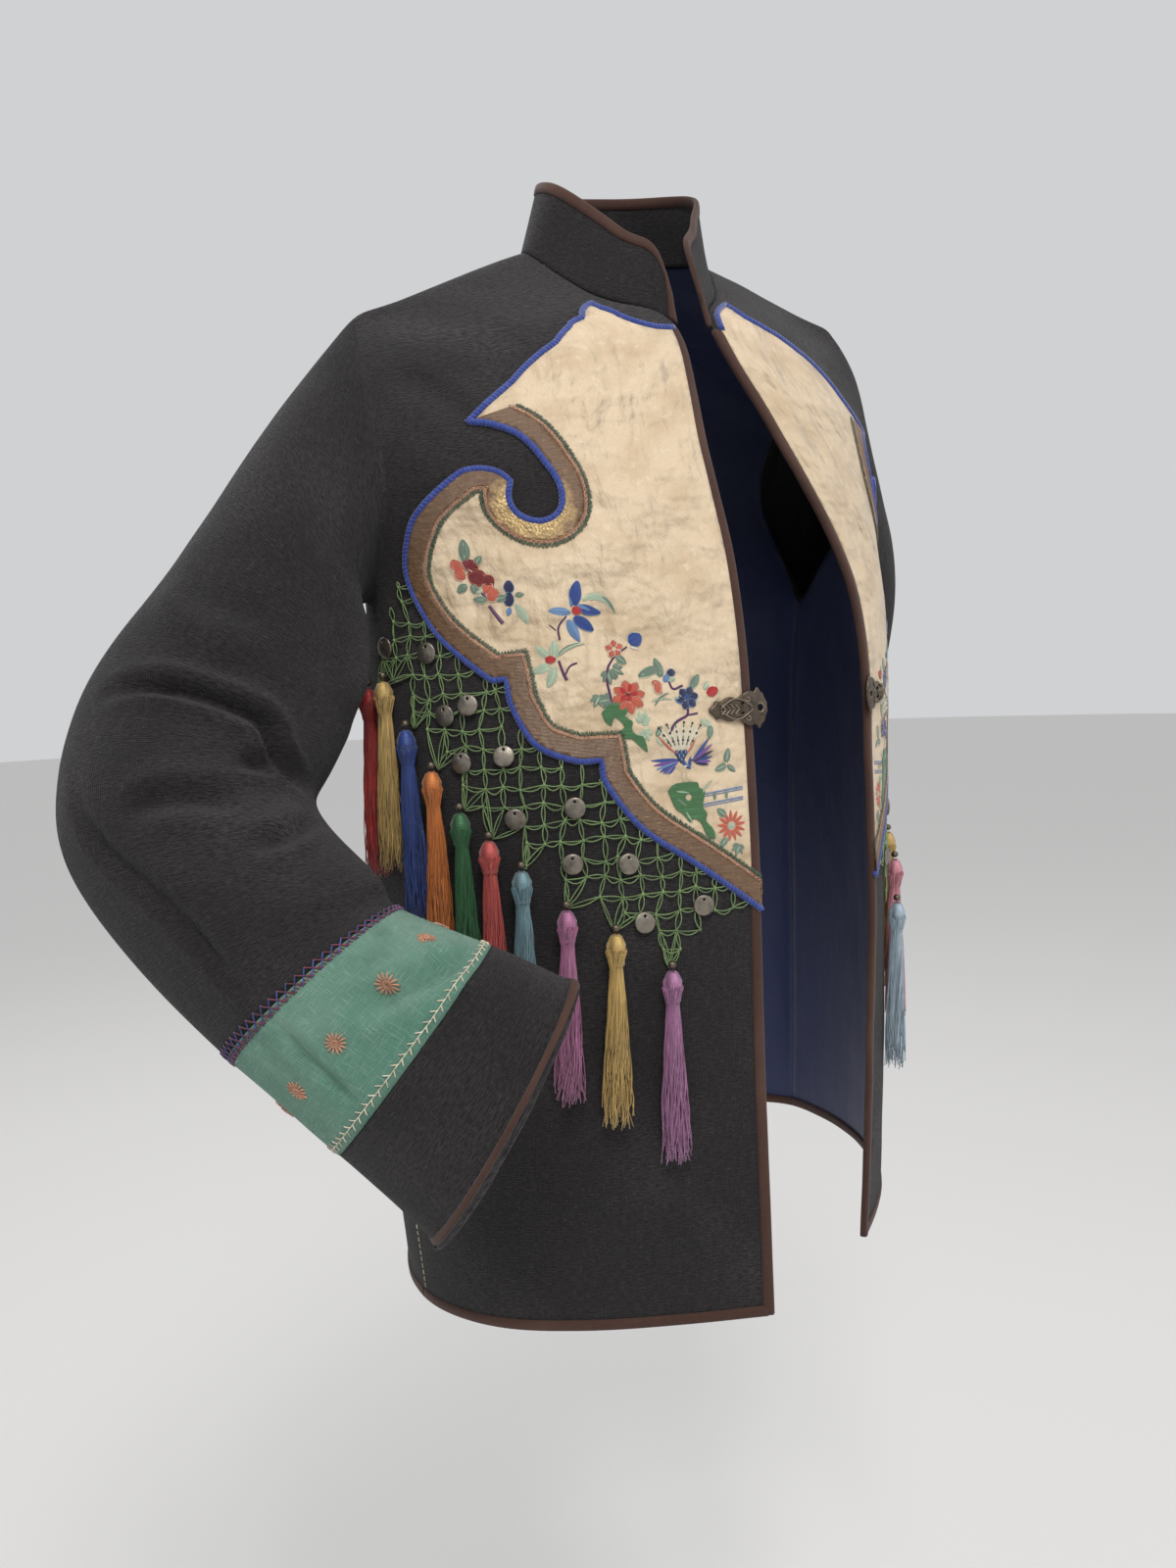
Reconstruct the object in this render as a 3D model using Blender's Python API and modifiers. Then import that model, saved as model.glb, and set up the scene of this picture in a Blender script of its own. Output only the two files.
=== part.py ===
"""Hmong embroidered jacket, worn and open at the front: one rigid body of separate cut pieces.

Metres, +Z up, the wearer faces -Y and the wearer's right is -X. The origin is between the shoulders at
the base of the neck, where the wearer carries the jacket. Every cloth piece is a wall made from one
shared skin of points, moved along the skin's normals, so pieces that lie on each other never touch.
"""
import math
from collections import namedtuple

import bpy
import numpy as np
from mathutils import Matrix, Vector
from mathutils.geometry import delaunay_2d_cdt

# ---- driving sizes -------------------------------------------------------------------------------
GAP = 0.0003              # kept between any two pieces
CLOTH = 0.0018            # wall of the charcoal cloth
LINING = 0.0010           # wall of the navy lining
BINDING = 0.0075          # width of the bound edges
BINDING_PROUD = 0.0006    # how far a binding stands out from the cloth on each side
COLLAR_HEIGHT = 0.054     # full height of the stand collar
COLLAR_FRONT = 0.42       # its height at the front edge, as a share of the full height
COLLAR_ROUND = 0.036      # length of the rounding at each front corner
COLLAR_LEAN = 0.30        # how far it leans in towards the neck, for each unit of height
COLLAR_SWING = 0.85       # how far it swings forward where the neckline climbs, 1 being square to it
COLLAR_WALL = 0.0024
SATIN = 0.0010            # wall of the cream satin panel
RIBBON = 0.0010           # wall of the ribbon sewn on the panel
RIBBON_WIDTH = 0.0120
PIPING = 0.0048           # width of the blue piping round the panel
PIPING_PROUD = 0.0031     # how far its round top stands above the cloth
NET = 0.0016              # thickness of the knotted net
MITRE = 0.30              # least cosine sum at a sharp corner of an offset line, which limits its spike
INSET_CLEAR = 0.9         # an offset point nearer than this share of the distance belongs to a loop
ROW_REACH = 1.15          # end tangents of a level line, as a share of its straight length in plan
STEPS = 2                 # straight pieces from one outline point to the next
COLUMNS = 7               # facets across half a front or half the back
SPLIT = 2                 # facets from one table row to the next

# ---- the cut, as tables --------------------------------------------------------------------------
# A row is a level line of the front or the back, from its inner end (the front edge or neckline, or
# the centre back or back neckline) to its outer end (the side seam, the armhole or the shoulder).
# "out" is the distance from the centre plane towards that side. The line leaves the inner end and
# arrives at the outer end on a heading in plan: 0 degrees is straight out, 90 degrees straight back.
Row = namedtuple("Row", "name out y z end_out end_y end_z leave arrive")

FRONT_RIGHT = [
    Row("hem", 0.054, -0.200, -0.775, 0.229, -0.008, -0.780, 30, 95),
    Row("hip", 0.045, -0.187, -0.610, 0.240, 0.000, -0.610, 18, 95),
    Row("waist", 0.037, -0.178, -0.430, 0.243, 0.000, -0.430, 12, 95),
    Row("armpit", 0.034, -0.164, -0.272, 0.238, -0.005, -0.275, 8, 80),
    Row("chest", 0.037, -0.135, -0.163, 0.248, -0.050, -0.185, 4, 32),
    Row("neck_front", 0.020, -0.085, -0.069, 0.243, -0.022, -0.110, -6, 16),
    Row("neck_side", 0.058, -0.040, -0.045, 0.235, 0.004, -0.076, -8, 8),
    Row("shoulder", 0.083, 0.018, -0.002, 0.226, 0.020, -0.059, 0, 0),
]
FRONT_LEFT = [
    Row("hem", 0.086, -0.152, -0.773, 0.250, 0.108, -0.768, 34, 92),
    Row("hip", 0.097, -0.152, -0.610, 0.248, 0.098, -0.610, 32, 92),
    Row("waist", 0.110, -0.143, -0.430, 0.244, 0.090, -0.430, 30, 94),
    Row("armpit", 0.111, -0.130, -0.272, 0.240, 0.070, -0.277, 14, 92),
    Row("chest", 0.052, -0.118, -0.163, 0.240, -0.010, -0.182, -6, 62),
    Row("neck_front", 0.012, -0.085, -0.069, 0.242, -0.010, -0.096, -8, 24),
    Row("neck_side", 0.058, -0.038, -0.036, 0.238, 0.004, -0.058, -8, 10),
    Row("shoulder", 0.090, 0.012, 0.003, 0.230, 0.014, -0.036, 0, 0),
]
BACK_RIGHT = [
    Row("hem", 0.000, 0.165, -0.775, 0.240, -0.005, -0.778, 0, -85),
    Row("hip", 0.000, 0.152, -0.610, 0.243, 0.000, -0.610, 0, -85),
    Row("waist", 0.000, 0.130, -0.430, 0.243, 0.000, -0.430, 0, -85),
    Row("armpit", 0.000, 0.128, -0.272, 0.238, -0.005, -0.275, 0, -80),
    Row("chest", 0.000, 0.126, -0.150, 0.236, 0.078, -0.180, 0, -20),
    Row("neck_back", 0.000, 0.078, 0.004, 0.234, 0.060, -0.110, 6, -8),
    Row("neck_side", 0.056, 0.062, 0.004, 0.230, 0.040, -0.078, 6, -4),
    Row("shoulder", 0.083, 0.018, -0.002, 0.226, 0.020, -0.059, 0, 0),
]
BACK_LEFT = [
    Row("hem", 0.000, 0.165, -0.775, 0.250, 0.108, -0.768, 0, -75),
    Row("hip", 0.000, 0.152, -0.610, 0.248, 0.098, -0.610, 0, -75),
    Row("waist", 0.000, 0.130, -0.430, 0.244, 0.090, -0.430, 0, -70),
    Row("armpit", 0.000, 0.128, -0.272, 0.240, 0.070, -0.277, 0, -55),
    Row("chest", 0.000, 0.126, -0.150, 0.232, 0.112, -0.175, 0, -16),
    Row("neck_back", 0.000, 0.078, 0.004, 0.234, 0.080, -0.100, 6, -8),
    Row("neck_side", 0.056, 0.062, 0.007, 0.232, 0.046, -0.062, 6, -4),
    Row("shoulder", 0.090, 0.012, 0.003, 0.230, 0.014, -0.036, 0, 0),
]
PIT = 3                   # the row where the side seam meets the armhole
NECK = 5                  # the row where the front edge meets the neckline
LAST = 7                  # the shoulder row

# A sleeve section is given as the sleeve would lie pressed flat: its fold over the arm, its fold under
# the arm, how far it stands open between them, and how much further down the arm its front reaches.
Section = namedtuple("Section", "name over under depth lean")

SLEEVE_RIGHT = [
    Section("upper", (-0.297, 0.028, -0.142), (-0.255, -0.014, -0.272), 0.066, 0.0),
    Section("biceps", (-0.366, 0.040, -0.236), (-0.263, -0.033, -0.325), 0.066, 0.0),
    Section("elbow_top", (-0.428, 0.052, -0.320), (-0.296, -0.052, -0.370), 0.064, 0.0),
    Section("elbow_low", (-0.457, 0.030, -0.405), (-0.318, -0.070, -0.394), 0.060, 0.0),
    Section("forearm", (-0.439, -0.010, -0.470), (-0.302, -0.120, -0.435), 0.056, 0.0),
    Section("band_top", (-0.387, -0.071, -0.549), (-0.301, -0.140, -0.453), 0.050, 0.004),
    Section("band_low", (-0.340, -0.122, -0.605), (-0.271, -0.202, -0.473), 0.046, 0.008),
    Section("wrist", (-0.303, -0.160, -0.658), (-0.232, -0.227, -0.497), 0.042, 0.009),
    Section("cuff", (-0.300, -0.163, -0.663), (-0.228, -0.231, -0.498), 0.042, 0.009),
]
SLEEVE_LEFT = [
    Section("upper", (0.278, 0.060, -0.112), (0.254, 0.076, -0.293), 0.058, 0.0),
    Section("biceps", (0.334, 0.090, -0.214), (0.262, 0.092, -0.340), 0.063, 0.0),
    Section("elbow_top", (0.362, 0.130, -0.340), (0.252, 0.126, -0.390), 0.068, 0.0),
    Section("elbow_low", (0.370, 0.152, -0.430), (0.246, 0.150, -0.455), 0.070, 0.0),
    Section("forearm", (0.372, 0.170, -0.510), (0.240, 0.168, -0.528), 0.068, 0.0),
    Section("band_top", (0.370, 0.184, -0.585), (0.236, 0.182, -0.596), 0.066, 0.0),
    Section("band_low", (0.371, 0.193, -0.650), (0.232, 0.191, -0.659), 0.064, 0.0),
    Section("wrist", (0.374, 0.199, -0.715), (0.228, 0.197, -0.722), 0.063, 0.0),
    Section("cuff", (0.3745, 0.200, -0.722), (0.2275, 0.198, -0.730), 0.063, 0.0),
]
ELBOW, BAND_TOP, BAND_LOW, WRIST = 2, 5, 6, 7      # the sleeve's solid is split in two at the elbow

# The sewn-on panel, in a front's flat places: distance from the front edge, and level. Each stroke of
# its outer edge is smooth, with a corner where the next one starts.
EDGE_IN = BINDING + GAP
HEM_LEVEL = -0.760
PANEL = [
    [(0.004, -0.0700), (0.001, -0.063), (0.001, -0.047)],
    [(0.001, -0.047), (0.054, -0.053), (0.106, -0.0685), (0.144, -0.095), (0.177, -0.122)],
    [(0.177, -0.122), (0.156, -0.129), (0.136, -0.144), (0.120, -0.172), (0.117, -0.192),
     (0.123, -0.202), (0.134, -0.205), (0.144, -0.199), (0.148, -0.187), (0.1445, -0.174)],
    [(0.1445, -0.174), (0.153, -0.164), (0.168, -0.159), (0.184, -0.163), (0.217, -0.191), (0.238, -0.237),
     (0.225, -0.281), (0.188, -0.317), (0.175, -0.320)],
    [(0.175, -0.320), (0.172, -0.338), (0.157, -0.365), (0.131, -0.377), (0.1145, -0.378)],
    [(0.1145, -0.378), (0.111, -0.394), (0.088, -0.425), (0.048, -0.454), (0.000, -0.490)],
]
PANEL_TOP = -0.0685       # level where the panel leaves the bound edge for the neckline
RIBBON_FROM = 2           # the stroke where the ribbon starts
NET_FROM = 3              # the stroke where the net starts, but for
NET_SKIP = 5              # this many of its first outline points, which lie above the net
NET_SIDE = [(0.246, -0.246), (0.270, -0.288)]
NET_END = (0.0, -0.4935)
NET_NOTCH = 0.020         # how far the net's edge climbs between two tassels
# Tassels hang from the net's points, listed from the side to the front edge: flat place, then colours
# of the right and the left one.
Tassel = namedtuple("Tassel", "out level right left")
TASSELS = [
    Tassel(0.2800, -0.322, (0.45, 0.02, 0.02), (0.50, 0.04, 0.03)),
    Tassel(0.2625, -0.317, (0.62, 0.47, 0.16), (0.62, 0.47, 0.16)),
    Tassel(0.2440, -0.351, (0.02, 0.10, 0.42), (0.20, 0.12, 0.40)),
    Tassel(0.2255, -0.379, (0.72, 0.28, 0.05), (0.02, 0.10, 0.42)),
    Tassel(0.2070, -0.407, (0.03, 0.26, 0.09), (0.72, 0.28, 0.05)),
    Tassel(0.1885, -0.426, (0.60, 0.14, 0.13), (0.03, 0.26, 0.09)),
    Tassel(0.1680, -0.447, (0.20, 0.33, 0.37), (0.58, 0.03, 0.03)),
    Tassel(0.1400, -0.475, (0.45, 0.20, 0.40), (0.68, 0.44, 0.16)),
    Tassel(0.1080, -0.493, (0.64, 0.46, 0.16), (0.72, 0.30, 0.36)),
    Tassel(0.0695, -0.522, (0.48, 0.24, 0.46), (0.45, 0.55, 0.60)),
]
TASSEL_LENGTH = 0.135
TASSEL_PROFILE = [(0.0022, 0.000), (0.0068, 0.006), (0.0070, 0.014), (0.0046, 0.022),
                  (0.0080, 0.065), (0.0084, TASSEL_LENGTH)]       # radius, distance down
CLASP_LEVEL = -0.347
CLASP_IN, CLASP_OUT, CLASP_HALF = 0.030, 0.009, 0.012   # reach in from the edge and past it, half height
CLASP_WALL = 0.0014
CLASP_HOLE = 0.0030
CLASP_LOBE = 0.2          # how deep the three lobes of its outline are cut, as a share of its half height
CLASP_FACETS, HOLE_FACETS = 28, 10
TASSEL_FACETS = 7


# ---- curves and small tools ----------------------------------------------------------------------
def catmull(values, t):
    """Smooth value at t through evenly numbered values, each a number or an array."""
    values = [np.asarray(v, float) for v in values]
    last = len(values) - 1
    i = min(int(t), last - 1)
    f = t - i
    p1, p2 = values[i], values[i + 1]
    p0 = values[i - 1] if i > 0 else 2 * p1 - p2
    p3 = values[i + 2] if i + 2 <= last else 2 * p2 - p1
    return p1 + 0.5 * f * (p2 - p0 + f * (2 * p0 - 5 * p1 + 4 * p2 - p3 + f * (3 * (p1 - p2) + p3 - p0)))


def hermite(a, b, leave, arrive, s):
    """Point at s of the curve from a to b with those end tangents."""
    s2, s3 = s * s, s * s * s
    return ((2 * s3 - 3 * s2 + 1) * a + (s3 - 2 * s2 + s) * leave
            + (3 * s2 - 2 * s3) * b + (s3 - s2) * arrive)


def row_line(row, s):
    """Point at s, from 0 at the inner end to 1 at the outer end, on one level line."""
    _, out, y, z, end_out, end_y, end_z, leave, arrive = row
    a, b = np.array([out, y, z]), np.array([end_out, end_y, end_z])
    reach = ROW_REACH * math.hypot(end_out - out, end_y - y)
    rise = end_z - z
    start = np.array([reach * math.cos(math.radians(leave)), reach * math.sin(math.radians(leave)), rise])
    finish = np.array([reach * math.cos(math.radians(arrive)), reach * math.sin(math.radians(arrive)), rise])
    return hermite(a, b, start, finish, s)


def row_at(rows, t):
    """The level line at t along the table."""
    return Row("", *catmull([row[1:] for row in rows], t))


def unit(v):
    return v / np.linalg.norm(v)


# ---- the shared skin -----------------------------------------------------------------------------
class Skin:
    """Outer points of the whole jacket, with the triangles that each piece takes from it."""

    def __init__(self):
        self.points = []
        self.flat = {}            # point number -> (distance from the front edge, level) on a front
        self.faces = {}           # region name -> triangles
        self.normals = None

    def add(self, point):
        self.points.append(np.asarray(point, float))
        return len(self.points) - 1

    def weave(self, region, grid, flip=False):
        """Add the cells of a grid of point numbers to a region as triangles."""
        faces = self.faces.setdefault(region, [])
        for low, high in zip(grid, grid[1:]):
            for a, b, c, d in zip(low, low[1:], high[1:], high):
                pair = [(a, b, c), (a, c, d)]
                faces += [f[::-1] for f in pair] if flip else pair

    def finish(self):
        """Work out each point's normal from all the triangles round it."""
        total = np.zeros((len(self.points), 3))
        for faces in self.faces.values():
            for a, b, c in faces:
                pa, pb, pc = self.points[a], self.points[b], self.points[c]
                cross = np.cross(pb - pa, pc - pa)
                for n in (a, b, c):
                    total[n] += cross
        self.normals = [unit(v) if v.any() else v for v in total]


def front_shares(row):
    """Places of the columns from 0 to 1: the bound edge first, then even columns."""
    edge = BINDING / arc_length(row, 1.0)
    for _ in range(3):
        edge *= BINDING / arc_length(row, edge)
    return [0.0] + [edge + (1 - edge) * i / (COLUMNS - 1) for i in range(COLUMNS)]


def row_steps():
    """Places of the level lines along a table: the bound hem first, then even steps."""
    bound = BINDING / (FRONT_RIGHT[1].z - FRONT_RIGHT[0].z)
    return [0.0, bound] + [i / SPLIT for i in range(1, LAST * SPLIT + 1)]


def sided(point, side):
    return np.array([side * point[0], point[1], point[2]])


def arc_length(row, s):
    """Distance along a level line from its inner end to s."""
    marks = [row_line(row, s * i / 12) for i in range(13)]
    return sum(np.linalg.norm(b - a) for a, b in zip(marks, marks[1:]))


def front_grid(skin, rows, side):
    """Point numbers of one front, with their flat places."""
    grid = []
    for t in row_steps():
        row = row_at(rows, t)
        line = []
        for s in front_shares(row):
            n = skin.add(sided(row_line(row, s), side))
            skin.flat[n] = (arc_length(row, s), row.z)
            line.append(n)
        grid.append(line)
    return grid


def back_grid(skin, front, rows, side, centre):
    """Point numbers of one half of the back, sharing the side seam and the shoulder with its front."""
    steps = row_steps()
    grid = []
    for j, t in enumerate(steps):
        row = row_at(rows, t) if t <= NECK else row_at(rows[NECK:], t - NECK)
        if t <= PIT or j == len(steps) - 1:
            seam = sided(skin.points[front[j][-1]], side)
            row = row._replace(end_out=seam[0], end_y=seam[1], end_z=seam[2])
        line = [centre[j]] if j < len(centre) else [skin.add(sided(row_line(row, 0.0), side))]
        line += [skin.add(sided(row_line(row, i / COLUMNS), side)) for i in range(1, COLUMNS)]
        line.append(front[j][-1] if t <= PIT else skin.add(sided(row_line(row, 1.0), side)))
        grid.append(line)
    grid[-1] = front[-1]
    return grid


def sleeve_rings(sections, side, count):
    """Rings of points down a sleeve: over the arm, down its front, under the arm, up its back."""
    middles = [(np.array(s.over) + np.array(s.under)) / 2 for s in sections]
    rings = []
    for i, s in enumerate(sections):
        axis = middles[min(i + 1, len(middles) - 1)] - middles[max(i - 1, 0)]
        fold = (np.array(s.over) - np.array(s.under)) / 2
        open_way = side * s.depth * unit(np.cross(axis, fold)) + s.lean * unit(axis)
        turns = [2 * math.pi * k / count for k in range(count)]
        rings.append([middles[i] + math.cos(a) * fold + math.sin(a) * open_way for a in turns])
    return rings


def sleeve_grid(skin, front, back, sections, side):
    """Point numbers of a sleeve, ring by ring, starting with the armhole it shares with the body."""
    pit = PIT * SPLIT + 1
    ring = [row[-1] for row in front[:pit - 1:-1]] + [row[-1] for row in back[pit + 1:-1]]
    grid = [ring + ring[:1]]
    for points in sleeve_rings(sections, side, len(ring)):
        numbers = [skin.add(p) for p in points]
        grid.append(numbers + numbers[:1])
    return grid


class Front:
    """One front's triangles laid flat, to carry what is sewn on it."""

    def __init__(self, skin, hand, side):
        self.skin, self.side = skin, side
        names = "binding_front_", "binding_hem_front_", "front_"
        self.faces = [f for name in names for f in skin.faces[name + hand]]
        flat = [[skin.flat[n] for n in f] for f in self.faces]
        self.frames = [np.linalg.inv(np.array([[b[0] - a[0], c[0] - a[0]], [b[1] - a[1], c[1] - a[1]]]))
                       for a, b, c in flat]
        self.starts = [np.array(f[0]) for f in flat]

    def find(self, place):
        """The triangle that holds a flat place, and the place's weights on its three points."""
        best = None
        for face, frame, start in zip(self.faces, self.frames, self.starts):
            u, v = frame @ (np.asarray(place) - start)
            spare = min(u, v, 1 - u - v)
            if best is None or spare > best[0]:
                best = spare, face, (1 - u - v, u, v), frame
        return best[1:]

    def place(self, flat, lift=0.0):
        """The point and the normal at a flat place."""
        face, weights, _ = self.find(flat)
        point = sum(w * self.skin.points[n] for w, n in zip(weights, face))
        normal = unit(sum(w * self.skin.normals[n] for w, n in zip(weights, face)))
        return point + lift * normal, normal

    def inset(self, path, distance):
        """A flat path moved sideways by a true distance on the cloth, to the inside of the panel. Points
        that come too near another part of the path are dropped, which clears loops at sharp corners."""
        steps = []
        for a, b in zip(path, path[1:]):
            face, _, frame = self.find((np.array(a) + b) / 2)
            pa, pb, pc = (self.skin.points[n] for n in face)
            spread = np.stack([pb - pa, pc - pa], axis=1) @ frame
            along = spread @ (np.array(b) - a)
            across = self.side * unit(np.cross(along, np.cross(pb - pa, pc - pa)))
            steps.append((across, np.linalg.pinv(spread)))
        line = [self.place(p)[0] for p in path]
        moved = []
        for i, p in enumerate(path):
            before, after = steps[max(i - 1, 0)], steps[min(i, len(steps) - 1)]
            way = (before[0] + after[0]) / max(1 + before[0].dot(after[0]), MITRE)
            spot = np.array(p) + (before[1] + after[1]) / 2 @ way * distance
            point = self.place(spot)[0]
            near = min(segment_distance(point, a, b) for a, b in zip(line, line[1:]))
            if near > INSET_CLEAR * abs(distance):
                moved.append(tuple(spot))
        return moved


def segment_distance(point, a, b):
    share = min(max((point - a).dot(b - a) / (b - a).dot(b - a), 0.0), 1.0)
    return np.linalg.norm(point - a - share * (b - a))


def stroke_points(strokes, steps):
    """Flat points along strokes, each one smooth from its first point to its last."""
    path = [strokes[0][0]]
    for stroke in strokes:
        count = (len(stroke) - 1) * steps
        path += [tuple(catmull(stroke, (i + 1) / steps)) for i in range(count)]
    return path


def collar_grid(skin, neckline):
    """Point numbers of the stand collar, from its foot up; the line of its foot is the neckline."""
    ends = [np.linalg.norm(neckline[1] - neckline[0]), np.linalg.norm(neckline[-2] - neckline[-1])]
    foot = [neckline[0], neckline[0] + (neckline[1] - neckline[0]) * BINDING / ends[0], *neckline[1:-1],
            neckline[-1] + (neckline[-2] - neckline[-1]) * BINDING / ends[1], neckline[-1]]
    middle = sum(foot) / len(foot)
    gone = np.cumsum([0.0] + [np.linalg.norm(b - a) for a, b in zip(foot, foot[1:])])
    grid = [[], [], [], []]
    for i, p in enumerate(foot):
        along = unit(foot[min(i + 1, len(foot) - 1)] - foot[max(i - 1, 0)])
        inward = unit((middle - p) * [1, 1, 0])
        ease = min(min(gone[i], gone[-1] - gone[i]) / COLLAR_ROUND, 1.0)
        rise = np.array([0.0, 0.0, 1.0])
        rise = unit(rise - COLLAR_SWING * ease * rise.dot(along) * along + COLLAR_LEAN * inward)
        height = COLLAR_HEIGHT * (COLLAR_FRONT + (1 - COLLAR_FRONT) * math.sqrt(1 - (1 - ease) ** 2))
        for line, up in zip(grid, (0.0, (height - BINDING) / 2, height - BINDING, height)):
            line.append(skin.add(p + up * rise))
    return grid


# ---- making pieces -------------------------------------------------------------------------------
def material(name, colour, roughness, metallic=0.0):
    made = bpy.data.materials.new(name)
    made.use_nodes = True
    shader = made.node_tree.nodes["Principled BSDF"]
    shader.inputs["Base Color"].default_value = (*colour, 1.0)
    shader.inputs["Roughness"].default_value = roughness
    shader.inputs["Metallic"].default_value = metallic
    return made


def add_object(name, points, faces, look):
    mesh = bpy.data.meshes.new(name)
    mesh.from_pydata([tuple(p) for p in points], [], faces)
    mesh.materials.append(material(name, *look))
    made = bpy.data.objects.new(name, mesh)
    bpy.data.collections[COLLECTION].objects.link(made)
    return made


def border_steps(points, faces):
    """For each border point of a set of triangles, the border edges and the step that leads inside."""
    edges = {}
    for face in faces:
        for a, b, c in (face, face[1:] + face[:1], face[2:] + face[:2]):
            edges[(a, b)] = c
    border = {e: c for e, c in edges.items() if e[::-1] not in edges}
    inward = {}
    for (a, b), c in border.items():
        along = unit(points[b] - points[a])
        step = points[c] - points[a]
        step = unit(step - along * step.dot(along))
        inward.setdefault(a, []).append(step)
        inward.setdefault(b, []).append(step)
    steps = {n: sum(s) / (1 + s[0].dot(s[-1])) if len(s) > 1 else s[0] for n, s in inward.items()}
    return border, steps


def wall(name, points, normals, faces, top, bottom, look, trim=GAP / 2):
    """One closed piece: triangles moved out to `top` and to `bottom` along the normals, its border
    drawn in by `trim` and closed by a rim."""
    border, steps = border_steps(points, faces)
    used = sorted({n for f in faces for n in f})
    place = {n: i for i, n in enumerate(used)}
    base = [points[n] + trim * steps.get(n, np.zeros(3)) for n in used]
    upper = [p + top * normals[n] for p, n in zip(base, used)]
    lower = [p + bottom * normals[n] for p, n in zip(base, used)]
    count = len(used)
    solid = [tuple(place[n] for n in f) for f in faces]
    solid += [tuple(place[n] + count for n in f[::-1]) for f in faces]
    for edge in border:
        a, b = place[edge[0]], place[edge[1]]
        if edge[0] < edge[1]:       # the neighbour across a seam splits its rim along the same diagonal
            solid += [(b, a, b + count), (a, a + count, b + count)]
        else:
            solid += [(b, a, a + count), (b, a + count, b + count)]
    return add_object(name, upper + lower, solid, look)


def patch(name, front, outline, top, bottom, look):
    """One closed piece lying on a front: a flat outline, cut along the front's own triangles."""
    numbers = sorted({n for f in front.faces for n in f})
    place = {n: i for i, n in enumerate(numbers)}
    flat = [Vector(front.skin.flat[n]) for n in numbers] + [Vector(p) for p in outline]
    area = sum(a[0] * b[1] - b[0] * a[1] for a, b in zip(outline, outline[1:] + outline[:1]))
    ring = list(range(len(numbers), len(flat)))
    edges = [(place[a], place[b]) for f in front.faces for a, b in zip(f, f[1:] + f[:1])]
    limit = [(EDGE_IN, HEM_LEVEL), (EDGE_IN, PANEL_TOP), (0.0, PANEL_TOP)]
    edges += [(len(flat), len(flat) + 1), (len(flat) + 1, len(flat) + 2)]
    flat += [Vector(p) for p in limit]
    found = delaunay_2d_cdt(flat, edges, [ring if area > 0 else ring[::-1]], 0, 1e-6)
    places, triangles, sources = found[0], found[2], found[5]

    def clear_of_binding(face):
        out, level = sum((places[n] for n in face), Vector((0, 0))) / 3
        return out > EDGE_IN or level > PANEL_TOP

    inside = [tuple(f) for f, source in zip(triangles, sources) if source and clear_of_binding(f)]
    if front.side < 0:
        inside = [f[::-1] for f in inside]
    laid = {n: front.place(places[n]) for f in inside for n in f}
    points = {n: p for n, (p, _) in laid.items()}
    normals = {n: v for n, (_, v) in laid.items()}
    return wall(name, points, normals, inside, top, bottom, look, 0.0)


def frame_at(origin, down, normal):
    """Placing matrix with -Z along `down` and -Y along `normal`, for pieces that hang on the cloth."""
    z = unit(-down)
    x = unit(np.cross(-normal, z))
    y = np.cross(z, x)
    return Matrix([[x[i], y[i], z[i], origin[i]] for i in range(3)] + [[0, 0, 0, 1]])


def tassel(name, front, spot, colour):
    """A tassel's plain solid: a turned profile hanging down the cloth from its knot."""
    lift = NET + 2 * GAP + max(r for r, _ in TASSEL_PROFILE)
    top, normal = front.place((spot.out, spot.level), lift)
    foot, _ = front.place((spot.out, spot.level - TASSEL_LENGTH), lift)
    mesh = bpy.data.meshes.new(name)
    profile = [(0.0, 0.0)] + TASSEL_PROFILE + [(0.0, TASSEL_LENGTH)]
    chain = [(i, i + 1) for i in range(len(profile) - 1)]
    mesh.from_pydata([(r, 0.0, -down) for r, down in profile], chain, [])
    made = bpy.data.objects.new(name, mesh)
    made.data.materials.append(material(name, colour, 0.5))
    made.matrix_world = frame_at(top, foot - top, normal)
    bpy.data.collections[COLLECTION].objects.link(made)
    turn = made.modifiers.new("turn", "SCREW")
    turn.steps = turn.render_steps = TASSEL_FACETS
    turn.use_merge_vertices = True
    turn.merge_threshold = 0.00001
    return made


def clasp(name, front):
    """A clasp plate on a front edge: a leaf-shaped outline with an eye past the edge."""
    outline = []
    for i in range(CLASP_FACETS):
        turn = 2 * math.pi * i / CLASP_FACETS
        reach = CLASP_IN if math.cos(turn) > 0 else CLASP_OUT
        half = CLASP_HALF * (1 - CLASP_LOBE + CLASP_LOBE * math.cos(3 * turn))
        outline.append((reach * math.cos(turn), half * math.sin(turn)))
    turns = [2 * math.pi * i / HOLE_FACETS for i in range(HOLE_FACETS)]
    eye = [(CLASP_HOLE * math.cos(a) - CLASP_OUT / 2, CLASP_HOLE * math.sin(a)) for a in turns]
    curve = bpy.data.curves.new(name, "CURVE")
    curve.dimensions = "2D"
    curve.fill_mode = "BOTH"
    curve.extrude = CLASP_WALL / 2
    for ring in (outline, eye):
        spline = curve.splines.new("POLY")
        spline.points.add(len(ring) - 1)
        for point, (x, y) in zip(spline.points, ring):
            point.co = (x, y, 0.0, 1.0)
        spline.use_cyclic_u = True
    made = bpy.data.objects.new(name, curve)
    curve.materials.append(material(name, *PEWTER))
    start, normal = front.place((0.0, CLASP_LEVEL), GAP)
    inner, _ = front.place((CLASP_IN, CLASP_LEVEL), GAP)
    x = unit(inner - start)
    z = unit(normal - x * x.dot(normal))
    y = np.cross(z, x)
    centre = start + z * (SATIN + BINDING_PROUD + 2 * GAP + CLASP_WALL / 2)
    made.matrix_world = Matrix([[x[i], y[i], z[i], centre[i]] for i in range(3)] + [[0, 0, 0, 1]])
    bpy.data.collections[COLLECTION].objects.link(made)
    return made


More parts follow.
